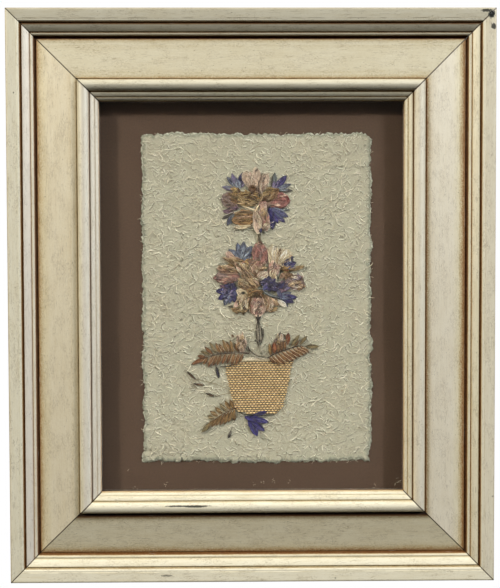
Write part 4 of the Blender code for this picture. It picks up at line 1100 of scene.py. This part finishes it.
MIDDLE_BALL = """
middle_floret_grey_blue grey_florets middle_floret_grey
floret 241.4 260.6 0 / 228.8 249.4 7.4 SLATE / 233.4 255.6 6 NIGHT / 237.6 242.9 6.2 STEEL / 244.3 241.7 6.8 SLATE /
    252 246.1 7.4 SLATE / 250.6 254 7 STEEL
blade 241 262 238.4 249.4 9 0.5 STEEL
blade 241 260 244.2 246.6 2.6 0.6 MIST
blade 239 258 232 250.8 1.6 0.6 MIST
blade 243 258 249.6 251.4 1.6 0.6 MIST
blade 246.6 262.4 234.8 258.4 3.6 0.6 NIGHT
blade 247.6 256.2 252.6 254.6 1.6 0.7 NIGHT
blade 241.4 256 238 245.6 1.2 0.65 MIST

middle_floret_navy_blue blue_florets middle_floret_navy
floret 283.4 267.4 2.4 / 293.2 257.2 4.6 NIGHT / 288.6 258.6 4.6 INK / 296.2 262.6 5.4 INK / 295.8 267.6 4.4 BLUE /
    283.6 261.6 3.6 NIGHT
blade 285 265.4 291.6 261.6 2.2 3 STEEL
blade 290.4 259 292.8 256.6 2.6 3 NIGHT steps=12 sides=5

middle_floret_slate_blue grey_florets middle_floret_slate
floret 275 296.4 0.4 / 291.6 292.4 4.6 SLATE / 297.6 297.4 5.6 DEEP / 294.2 302.4 5.4 INK / 288.2 306.6 6 SLATE /
    281.8 304.4 4.6 TEAL
blade 276.6 296.4 288.6 298.4 5.4 1 STEEL veins=3
blade 273 297.6 281 299.6 3.2 1.1 TEAL
blade 282 299 286.8 304.6 1.8 1.1 NIGHT
blade 288 298.4 294.4 297.6 1.6 1.1 BLUE
broad 277 299.6 286.4 306.6 4.6 1.3 IVORY
blade 288 295.4 292.4 300.4 1.2 1.2 NIGHT

middle_floret_deep_violet blue_florets middle_floret_violet
floret 231 291 0 / 215.8 291 6.2 INK / 218.3 299.4 6 INK / 224 305.6 5.6 SLATE / 229.6 303.4 4.4 BLUE / 235.4 302.2
    5.6 INK / 238 294.6 4.8 BLUE / 237 287 4.4 INK / 225.2 281.6 6 NIGHT / 233.6 281.4 6 NIGHT / 219.6 285 4.4 PLUM
crumple 228 292 7.4 6.4 30 20 0.6 INK BLUE NIGHT LILAC long=3,6 wide=1.2,2.4 spread=60
blade 229 290 219.6 291 1.4 0.8 LILAC
blade 229 293 221.8 298.4 1.4 0.8 STEEL
blade 230 294 226 301.8 1.4 0.8 MIST

middle_rose_upper rose_petals middle_petal_rose_upper
broad 259 272 260.8 243.2 16.5 1 DUSTY belly=1.4
crumple 260.4 255.6 6.4 9.4 88 34 1.4 DUSTY ROSE MAUVE DUSTY
line 12.8 / 254.6 246.6 260 243.4 266.6 247.8 268.4 254 / 0.2 0.3 0.2 / 178 152 132

middle_cream_pair pale_petals middle_petal_cream_right
broad 273 272 272.4 244.6 9 1.7 CREAM
broad 275 271 289 250.4 15 2.3 CREAM
floret 273.6 265 2.1 / 268.4 247.6 4.4 CREAM / 271 245.4 4.4 CREAM / 274.2 244.8 4.4 IVORY / 277.6 246.6 4.4 CREAM
floret 277.6 265 2.6 / 280 249.4 4.4 TAN / 283.4 248.6 4.8 CREAM / 287 249.6 4.8 IVORY / 290.4 252 4.8 CREAM / 292.6
    255.4 4.4 TAN
blade 278.6 257 280.6 248.4 2.8 2.9 BROWN
blade 277 264 277.4 252 2.6 2.7 TAN
line 13.4 / 268.4 245.4 273 244.6 277.6 246.8 / 0.2 0.4 0.2 / 214 202 172
line 13.4 / 282.6 249.6 288 249.8 293.6 254.6 / 0.2 0.45 0.3 / 216 204 174

middle_mauve_right mauve_petals middle_petal_mauve
broad 284 276 303.4 287.4 13.5 1.6 MAUVE
crumple 296.4 278.6 5 4.4 150 16 2 MAUVE LILAC PINK
crumple 296 286 6 4 20 18 2 TAN MAUVE PINK BROWN
line 13.2 / 294.4 275.4 300.4 275.6 303.4 281 303.2 287.6 298 292 / 0.3 0.5 0.4 0.3 / 108 80 72
line 13.3 / 291 290.4 294.6 289.4 298 290.8 / 0.2 0.3 0.2 / 206 200 196

middle_violet_petal mauve_petals middle_petal_violet
broad 274 290 291.4 283.6 11 1.2 PLUM belly=1.1
crumple 284.6 285.4 4.6 4.2 40 14 1.6 PLUM NIGHT LILAC INK

middle_rose_left rose_petals middle_petal_rose_left
broad 240 276.6 214.6 277.4 14 1 DUSTY
broad 228.6 276.6 216.4 275 7.4 1.5 MAUVE
crumple 226.6 279.4 8 3.6 170 20 2 SHELL DUSTY MAUVE
broad 240 272 217.6 268.6 8 1.8 SALMON
crumple 227 268.4 8 3 165 20 2.2 SALMON BROWN TAN
line 13.4 / 218.6 271 226 271.4 234.6 272.6 / 0.3 0.6 0.3 / 84 50 32

middle_strap tan_petals middle_strap_tan
blade 242.6 268 222.4 256.9 4.4 2.4 TAN belly=0.9
broad 236 264 226.4 251.6 7.4 2 SHELL
crumple 236 262 7.4 4 145 20 2.6 TAN SALMON GOLD BROWN spread=12
line 13.5 / 222.6 257.8 228 260.6 233.6 265.4 240 270 / 0.5 0.4 0.3 / 74 46 20

middle_tan_lower tan_petals middle_petal_tan_lower
broad 263 281 238.4 284.6 15 3 BROWN
crumple 248.4 282 9.4 6.4 140 52 3.3 TAN OLIVE SHELL BROWN CREAM TAN spread=16 wide=1.2,2.8
line 14.4 / 246 274 252 281 257.6 289 / 0.3 0.5 0.3 / 190 162 120
line 14.4 / 243.4 277.4 249 283 254.6 289.4 / 0.25 0.4 0.3 / 80 54 28

middle_tan_upper tan_petals middle_petal_tan_upper
broad 264 275 238 267 14 3.6 BROWN
crumple 248 269 10.4 6.4 140 56 3.9 TAN BROWN SHELL CREAM OLIVE SALMON spread=18 wide=1.2,2.8
crumple 250 262.6 7.4 2.8 10 20 3.9 DUSTY BROWN GOLD MAUVE
crumple 260.4 265.4 6.4 3.4 35 20 3.7 SHELL TAN DUSTY BROWN
line 14.7 / 236 264 244 270.6 249 278 / 0.3 0.45 0.3 / 78 52 26
line 14.7 / 241 265.4 247 270 252.4 277 / 0.3 0.4 0.25 / 192 162 122

middle_pink pale_petals middle_petal_pink
broad 270.6 279.6 257.2 273.6 10.4 4.6 PINK
broad 273.2 281 273.4 262.6 11.6 4.5 SHELL
crumple 273.8 267.4 5 4.6 80 20 4.8 DUSTY SHELL MAUVE
crumple 275.4 274.4 4 4 82 14 4.8 TAN CREAM PINK
crumple 262.6 274.8 4.6 4.4 40 16 4.9 PINK CREAM SHELL
line 15.1 / 257 279 256.4 274.6 258.6 271 263.4 270.4 / 0.3 0.5 0.3 / 112 78 40
line 15.1 / 268.6 263 268.2 270 269.2 277 / 0.2 0.35 0.2 / 96 66 50

middle_floret_indigo_blue blue_florets middle_floret_indigo
floret 268.8 285 5 / 259.8 280.4 5.6 NIGHT / 263.6 277.6 4.4 INK / 269 275.6 5.2 NIGHT / 275.4 278.4 4.6 INK / 278.4
    284 5.4 NIGHT / 276.6 290.4 5.6 INK / 269.6 291.6 5 INK / 262.6 289.6 4.8 BLUE
crumple 268.4 284 6.6 5.6 60 28 5.2 NIGHT DARK INK LILAC long=3,6 wide=1.2,2.4 spread=70
blade 259.4 287.4 278.6 297.6 3.4 4 DIM_TEAL sway=-0.08 curl=0.1
line 15 / 259.8 287 265 292.6 272 296.2 279 297.4 / 0.2 0.35 0.25 / 136 140 144
blade 276.6 287.6 281.6 298.6 4.4 4.2 DIM_BLUE curl=0.1

middle_star tan_petals middle_flower_tan
floret 286.6 271.4 2.6 / 304.2 266.3 4.4 OLIVE / 293.8 278.6 4 BROWN / 286 279.4 4.4 BROWN / 279.6 278.4 4.4 SALMON /
    276.2 265 3.4 UMBER / 283.6 265.8 3.6 GOLD / 291 266 3.4 GOLD
crumple 287 269 4.6 2.8 20 16 3.2 GOLD UMBER OLIVE long=2.4,5 wide=1,2
crumple 284.4 275.4 4.4 2.6 140 12 3.2 BROWN SALMON UMBER long=2.4,5 wide=1,2
line 14.2 / 285 270.4 288 270.8 / 0.6 0.5 / 120 52 26
line 13.8 / 302.6 268.6 303.8 266.2 303.2 264.6 / 0.5 0.4 0.2 / 96 76 46

middle_cream_eye pale_petals middle_petal_cream_left
broad 250 296.4 237.2 290 9.4 2 CREAM belly=1.1
crumple 242.4 298.6 4.4 3 60 12 1.8 CREAM PINK TAN
blade 241.2 292.4 244.8 293.4 2.8 2.8 HOLE steps=12 sides=5
line 13.4 / 238 289.8 243 289.6 249.4 295.4 / 0.25 0.4 0.3 / 220 206 176

middle_curl tan_petals -
crumple 254.4 293 7.4 3.4 165 26 4 GOLD UMBER OLIVE BROWN
line 14.5 / 247 296.4 252 292 257 290.6 / 0.4 0.7 0.5 / 132 94 44
line 14.5 / 257 290 261 294 264.4 298.4 / 0.5 0.7 0.4 / 122 84 42
line 14.7 / 247.6 298 253.6 295.4 257.4 291.4 / 0.3 0.4 0.3 / 66 40 16

middle_rose_foot rose_petals middle_petal_rose_foot
broad 257.4 292 257.6 316.2 15.5 1.4 SHELL belly=1.5 blunt=0.42
crumple 257.6 306.6 5.6 7.6 80 34 2.3 DUSTY SHELL PINK SHELL MAUVE long=3,6 wide=1.4,2.8 spread=40
broad 252 295 243.4 311.6 10 1 TAN
broad 249 294 234.6 306.6 8 0.8 SHELL
broad 262 294 270.6 311.6 10 1 TAN
broad 266 294 278.6 305.4 8 0.8 SALMON
crumple 244 302.6 6 5.4 70 26 1.4 TAN CREAM SALMON BROWN
crumple 270.4 303 5.4 4.6 110 24 1.4 TAN BROWN PINK SALMON
crumple 240.6 310 6.4 2.2 160 12 0.6 BROWN OLIVE DUSK
crumple 272 309.4 5.4 2 10 10 0.6 BROWN OLIVE DUSK
line 13.4 / 247.8 296 247.2 303 247.6 309 / 0.3 0.5 0.3 / 208 184 148
line 13.4 / 250.6 297 249.8 305 251 313.6 / 0.3 0.6 0.3 / 102 66 34
line 12.4 / 227 305.8 229.6 306.6 232.6 306.4 / 0.3 0.5 0.3 / 64 54 40
"""

STEMS = """
stem_collar pale_petals stem_upper
line 12.1 / 257.8 230 258.2 237 257.4 244 / 0.7 0.45 0.8 / 150 140 112
line 12.1 / 261 229 260.2 236 261.4 245 / 0.8 0.45 0.8 / 128 118 92
line 12.4 / 259 231 259.2 238 259.4 245 / 0.5 0.4 0.5 / 66 56 38
line 12.5 / 261.4 229 260.8 235 / 0.5 0.3 / 44 34 22
line 12.4 / 256.8 232 256.6 238 / 0.2 0.1 / 196 186 158

stem_twist dark_bits stem_lower
line 12.1 / 255.6 315 257.8 321 255.6 331 256.4 339 258.6 347 / 1.1 0.5 0.5 0.5 0.3 / 58 46 34
line 12.1 / 260.4 315 258.6 321 261.8 330 262.2 338 259.6 347 / 1.1 0.5 0.55 0.5 0.3 / 50 42 34
line 12.4 / 258 315 258.4 324 259.4 334 258.8 345 / 0.9 0.4 0.3 0.3 / 40 32 26
line 12.3 / 260.2 325 259.6 332 260.8 341 / 0.5 0.9 0.4 / 168 160 142
line 12.2 / 257 326 257.8 334 258 343 / 0.5 0.8 0.3 / 146 136 118
line 12.2 / 262.8 328 263.6 335 261.6 342 / 0.3 0.4 0.2 / 84 70 54
blade 262.9 334 262.9 336.6 1.8 1.6 DUSK
blade 255.2 339.2 255.2 341.6 1.8 1.6 DUSK
blade 259.3 338.6 259.3 342.4 2 1.6 DUSK
line 12 / 258.6 345 252 352 247 357 / 0.25 0.5 0.25 / 172 164 142 half_height=0.25
line 12.08 / 259 345 266 351 270 357 / 0.25 0.5 0.25 / 196 190 168 half_height=0.25
line 12.16 / 258.8 346 256 354 250 357.6 / 0.25 0.5 0.25 / 172 164 142 half_height=0.25
line 12.24 / 259.4 346 263 354 268 358 / 0.25 0.5 0.25 / 196 190 168 half_height=0.25
line 12.32 / 252 349 257 355 268 355.6 / 0.25 0.5 0.25 / 172 164 142 half_height=0.25
line 12.4 / 262 350 256 356 248 354 / 0.25 0.5 0.25 / 196 190 168 half_height=0.25
line 12.6 / 247.8 345.4 249.4 350.4 253.6 354 259 356.6 265 356 / 0.3 0.5 0.35 0.3 0.2 / 66 48 34
line 12.6 / 253 357.4 259 358.6 264 357.6 / 0.2 0.4 0.2 / 88 70 50
"""


def leaves(ends, width, low, tones, high=0.0, past=math.inf):
    """Leaflets from pairs of ends, in three layers and some tones by turns, and higher up past an x of the picture."""
    return [(leaf, (*four, width, (high if four[0] > past else low) + 0.15 * (k % 3), tones[k % len(tones)]), {})
            for k, four in enumerate(ends)]


def threads(ends, shifts, half_widths, colour, low, high=0.0, past=math.inf):
    """A pale thread by each leaflet, its ends shifted from the leaflet's."""
    return [(line, (high if four[0] > past else low, [a + b for a, b in zip(four, shifts)], half_widths, colour), {})
            for four in ends]


def sprigs():
    """Three twigs, each a stalk with leaflets over it and under it."""
    over = lists("""210.3 355 200.4 351 / 205.6 357 197.2 355.6 / 216.1 353.6 209.4 341.8 / 220.4 353.4 215.4 342.4
        / 227.4 352.8 222.4 339 / 233 352.4 230 339.8 / 238.6 352.4 234.4 342.8 / 224 353 218.6 343.4
        / 213 354.4 204.4 346.4 / 243.4 353 240.6 346.6 / 230.4 352.6 226.4 341.4""")
    tones = "GREEN_LEAF RED_LEAF GREEN_LEAF HUSK TAN_LEAF TAN_LEAF HUSK BROWN_LEAF RED_LEAF HUSK HUSK".split()
    under = lists("""207.7 356.6 203.2 364.4 / 212.6 355.4 207.8 367.4 / 217 354.4 212.6 365.6 / 221.1 353.6 217 365
        / 225.9 353 221.8 364 / 230.4 352.8 226.6 363.6 / 234.6 352.8 231 365 / 238.9 353 235.4 365.4
        / 242.6 353.4 239.8 361.6 / 214.8 354.6 210.4 364.4""")
    piece("sprig_left_leaves", "brown_leaves", "sprig_left", [
        read("line 13.5 / 249 353 240 352.2 228.6 352.8 217 353.8 208.1 356.3 203 358.6 / 0.7 0.6 0.5 0.4 0.3 /"
             " 58 36 22"),
        read("leaf 207 356.6 191.2 364.2 4.4 1.6 RED_LEAF"), *leaves(over, 3.4, 1.5, tones),
        *leaves(under, 3.4, 1.6, ("HUSK", "RED_LEAF", "BROWN_LEAF"), 3, 224),
        *threads(under, (-1.9, 1, -1.7, -2.4), (0.34, 0.16), (206, 178, 142), 13.0, 13.9, 224),
        *threads(over[2:8], (1.3, -2, 1.9, 2.4), (0.34, 0.16), (210, 184, 148), 12.9),
        read("line 13.2 / 220.2 366 226 366.2 233 364.4 / 0.4 / 44 30 18"),
        read("line 13.8 / 249.8 353 248.2 349 247.8 346 / 0.4 / 62 42 28")], pressed=12.5)

    over = lists("""274 354 274.4 341 5.2 / 270.6 356 269.2 343 3.8 / 278 352.6 278.6 343 4.6 / 281.7 351 281.4 340 4.4
        / 287.4 345 288 332.6 4.6 / 290.6 346.4 299.4 334.8 4.2 / 299.4 345 307 335.6 3.8 / 285 349.4 284.2 341 3.4
        / 294 346.6 298.6 340.4 2.8""")
    tones = "RUST_LEAF TAN_LEAF HUSK BROWN_LEAF RUST_LEAF GREEN_LEAF GREEN_LEAF HUSK BROWN_LEAF".split()
    under = lists("""268.6 356.4 274.4 363.4 / 271.4 355.2 279.8 365.4 / 274.6 354 284.8 364.3 / 277.6 352.7 289.6 362.4
        / 281 351.2 293.4 361.2 / 284.6 350 297 359.2 / 288.2 348.8 300.4 357.2 / 292 347.6 303.8 355.6
        / 295.8 346.6 306.6 354.2 / 299.4 345.9 309 352.6""")
    piece("sprig_right_leaves", "brown_leaves", "sprig_right", [
        read("line 13.9 / 267 358 274.6 353.4 283.8 350 298.6 345.6 307 346.4 / 0.7 0.6 0.5 0.3 / 54 34 20"),
        read("leaf 304.6 346.4 319.2 346.6 4.2 1.6 GREEN_LEAF"), read("broad 282 351 279.4 333.8 8.4 1.4 MAUVE"),
        read("crumple 280.4 341 4.4 6.4 80 18 1.5 MAUVE OLIVE PINK"),
        *[(leaf, (*ends_and_width, 2 + 0.15 * (k % 3), tones[k]), {}) for k, ends_and_width in enumerate(over)],
        *leaves(under, 3.3, 3, ("RED_LEAF", "HUSK")),
        *threads(under, (1.8, 0.6, 1.2, -1.8), (0.36, 0.18), (214, 184, 148), 13.9),
        read("line 13.4 / 277.4 337.6 278.4 334.2 282 333 284.4 336 / 0.3 0.35 0.2 / 52 46 40")], pressed=12.5)

    over = lists("""233.4 409 229.6 399.4 / 230.2 410.2 224.8 400.6 / 226.2 412 219.2 403.2 / 222 414 214.6 407
        / 217.6 416.4 209.4 410.8 / 213.8 419 207 415.4""")
    under = lists("""234.2 409.4 232.6 420 / 231.4 410.4 228 422.4 / 228.4 411.6 223.8 424.6 / 225.2 413.2 219.6 425.4
        / 221.6 414.8 215.4 425.6 / 217.6 417.2 211.2 426.6 / 213.8 419.4 207.4 427.4""")
    piece("sprig_fallen_leaves", "brown_leaves", "sprig_fallen", [
        read("line 13.3 / 237 407.4 228 411 219 416 211 422 / 0.6 0.5 0.4 0.3 / 92 64 34"),
        read("leaf 211.7 421.6 201 432.4 5 1.6 GREEN_LEAF"),
        *leaves(over, 4.0, 1.6, ("TAN_LEAF", "TAN_LEAF", "GREEN_LEAF"), 2.8, 230),
        *leaves(under, 4.0, 1.6, ("TAN_LEAF", "TAN_LEAF", "TAN_LEAF", "HUSK")),
        *threads(over, (1.2, -2, 1.6, 2), (0.4, 0.2), (210, 190, 152), 13.0),
        read("leaf 235.4 414.4 233.6 420.6 2.6 1.6 HUSK")], pressed=12.5)


FALLEN = """
sprig_pale_petal pale_petals sprig_petal
broad 242.8 352 239.6 334.4 11 4 PINK spot=0.9,0.9,0.9,74,54,44
crumple 241.4 342 4 7 80 20 4.3 PINK SHELL TAN BROWN
line 14.4 / 233.4 337.4 236 335.6 240 334.6 / 0.2 0.4 0.2 / 206 186 160
blade 233.6 337.2 231.6 334.2 2.4 4.4 UMBER steps=12 sides=5

fallen_blue_floret blue_florets fallen_floret 12.5
blade 248 417.4 266.6 411.4 4.2 3 BLOOM
floret 248 417.4 1.6 / 268.4 422.4 5.8 BLOOM / 264 431.4 5.8 BLOOM / 257 436.4 7.2 BLOOM / 251.6 429 5.2 BLOOM
blade 244 416.6 256 421 6.4 2.2 BLOOM
blade 250 420 256.4 433 1.4 2.5 NIGHT
blade 252 418 262.6 428.4 1.4 2.5 NIGHT
blade 252 417.6 265.4 421.4 1.2 2.5 BLUE
blade 250 416 264 412.6 1.2 3.9 NIGHT
blade 251 422 254.4 432.4 1 2.5 BLUE
line 13.4 / 236 411.4 240 412.6 244.2 414.6 258 415.4 266 415.8 274.5 414.9 / 0.4 0.6 0.5 0.5 0.3 / 42 38 26

fallen_grey_leaf mauve_petals fallen_leaf
blade 215.9 366.4 218.6 378.2 3.8 0.2 DUSK belly=1 steps=18 sides=7
blade 216.4 368 218.4 377 1.2 0.5 NIGHT

fallen_bud_high dark_bits fallen_sliver_high
blade 186.6 371 195.6 379.4 2.5 0.2 DUSK belly=1 blunt=0.7 steps=16 sides=5
blade 187.6 371.6 194.6 379.2 1.2 0.5 UMBER
line 12 / 186.6 371 184.2 369.2 / 0.25 0.1 / 84 74 64
line 12 / 195.6 379.4 206 381 216 384 228 389.4 / 0.3 0.25 0.2 / 150 138 110

fallen_bud_middle dark_bits fallen_sliver_middle
blade 192.6 383.2 204 385.2 2.5 0.2 DUSK belly=1 blunt=0.7 steps=16 sides=5
blade 193.6 383.8 203 385 1.2 0.5 UMBER
line 12 / 192.6 383.2 190.2 381.4 / 0.25 0.1 / 84 74 64
line 12 / 192.6 384.2 196 387 189 388.4 / 0.3 0.25 0.2 / 128 116 92

fallen_bud_low dark_bits fallen_sliver_low
blade 205.4 393.2 214.4 396.2 2.5 0.2 DUSK belly=1 blunt=0.7 steps=16 sides=5
blade 206.4 393.8 213.4 396 1.2 0.5 UMBER
line 12 / 205.4 393.2 203 391.4 / 0.25 0.1 / 84 74 64
line 12 / 214.4 396.2 222 394.6 231.7 392.2 / 0.35 0.25 0.2 / 136 124 98

fallen_dark_seed dark_bits fallen_seed
blade 230.8 430.2 227.8 438.6 3 0.2 DUSK belly=1.2 steps=16 sides=5
line 12 / 230.6 430.6 231.6 427 / 0.25 0.1 / 90 78 66
"""


# ---------------------------------------------------------------- camera, light and floor

LEFT_POWER, RIGHT_POWER, ABOVE_POWER, BEHIND_POWER, AMBIENT = 665.0, 700.0, 150.0, 560.0, 0.026
LAMP_DISTANCE = 9.0
# The camera: half the picture's height and the focal length in points of the picture, where it stands (metres, and
# millimetres over the frame's middle) and how it is turned (degrees).
HALF_VIEW, FOCAL_LENGTH = 294, 886.4
EYE_X, EYE_Y, EYE_UP = -0.0091, -0.8012, 25.1
EYE_TURN = (-1.637, -0.535, -0.172)
FLOOR_RADIUS, FLOOR_Z = 1.5, -1.25
WARM, COLD, SOFT, DIM_GOLD = (1.0, 0.94, 0.82), (0.95, 0.98, 1.0), (1.0, 0.97, 0.92), (1.0, 0.96, 0.86)


def lamp(name, towards, size, power, colour):
    """A soft box that lights the middle of the picture from a direction (right, up, towards the viewer)."""
    light = bpy.data.lights.new(name, "AREA")
    light.shape = "SQUARE"
    light.size = size
    light.energy = power
    light.color = colour
    box = bpy.data.objects.new(name, light)
    bpy.context.scene.collection.objects.link(box)
    way = Vector((towards[0], -towards[2], towards[1])).normalized()
    box.location = Vector((0.0, 0.0, CENTRE_Z * MM)) + way * LAMP_DISTANCE
    box.rotation_euler = way.to_track_quat("Z", "Y").to_euler()


def make_studio():
    scene = bpy.context.scene
    scene.view_settings.view_transform = "Standard"
    camera = bpy.data.cameras.new("camera")
    camera.sensor_fit = "VERTICAL"
    camera.angle = 2 * math.atan(HALF_VIEW / FOCAL_LENGTH)
    eye = bpy.data.objects.new("camera", camera)
    scene.collection.objects.link(eye)
    lean = Vector(EYE_TURN)
    turned = Matrix.Rotation(math.pi / 2, 4, "X") @ Matrix.Rotation(math.radians(lean.length), 4, lean.normalized())
    eye.matrix_world = Matrix.Translation((EYE_X, EYE_Y, (CENTRE_Z + EYE_UP) * MM)) @ turned
    scene.camera = eye

    lamp("soft_box_left", (-1.32, 0.97, 1.0), 0.6, LEFT_POWER, WARM)
    lamp("soft_box_right", (1.39, 0.97, 1.0), 0.6, RIGHT_POWER, COLD)
    lamp("soft_box_behind", (0.5, 0.8, -1.0), 2.5, BEHIND_POWER, SOFT)
    lamp("soft_box_above", (0.0, 3.2, 1.0), 2.5, ABOVE_POWER, DIM_GOLD)

    # White where the camera sees it, and a faint light on the picture.
    world = bpy.data.worlds.new("studio")
    scene.world = world
    world.use_nodes = True
    tree = world.node_tree
    seen = tree.nodes.new("ShaderNodeLightPath")
    back = tree.nodes["Background"]
    back.inputs["Color"].default_value = (1.0, 1.0, 1.0, 1.0)
    power = tree.nodes.new("ShaderNodeMapRange")
    power.inputs["To Min"].default_value = AMBIENT
    power.inputs["To Max"].default_value = 1.0
    tree.links.new(seen.outputs["Is Camera Ray"], power.inputs["Value"])
    tree.links.new(power.outputs["Result"], back.inputs["Strength"])

    bpy.ops.mesh.primitive_circle_add(vertices=96, radius=FLOOR_RADIUS, fill_type="NGON",
                                      location=(0.0, 0.0, FLOOR_Z))
    floor = bpy.context.object
    floor.name = "floor"
    floor.data.materials.append(plain_looks("pale_floor", ((226, 224, 220), (234, 232, 228)), 3.0, 0.9, bump=0.0))
    # The floor is far below a hanging picture, so it throws no light up at it.
    floor.visible_diffuse = False
    floor.visible_glossy = False


DRY = dry_looks("dry_plant", 0.72, (1.0, 1.3, 1.0), 520.0, 0.22, crinkle=0.34)
make_studio()
make_frame()
dress_package()
make_paper()
make_fibres()
make_pot()
pieces(TOP_BALL_LOWER_LAYERS)
calyx()
pieces(TOP_BALL_UPPER_LAYERS)
pieces(MIDDLE_BALL)
pieces(STEMS)
sprigs()
pieces(FALLEN)
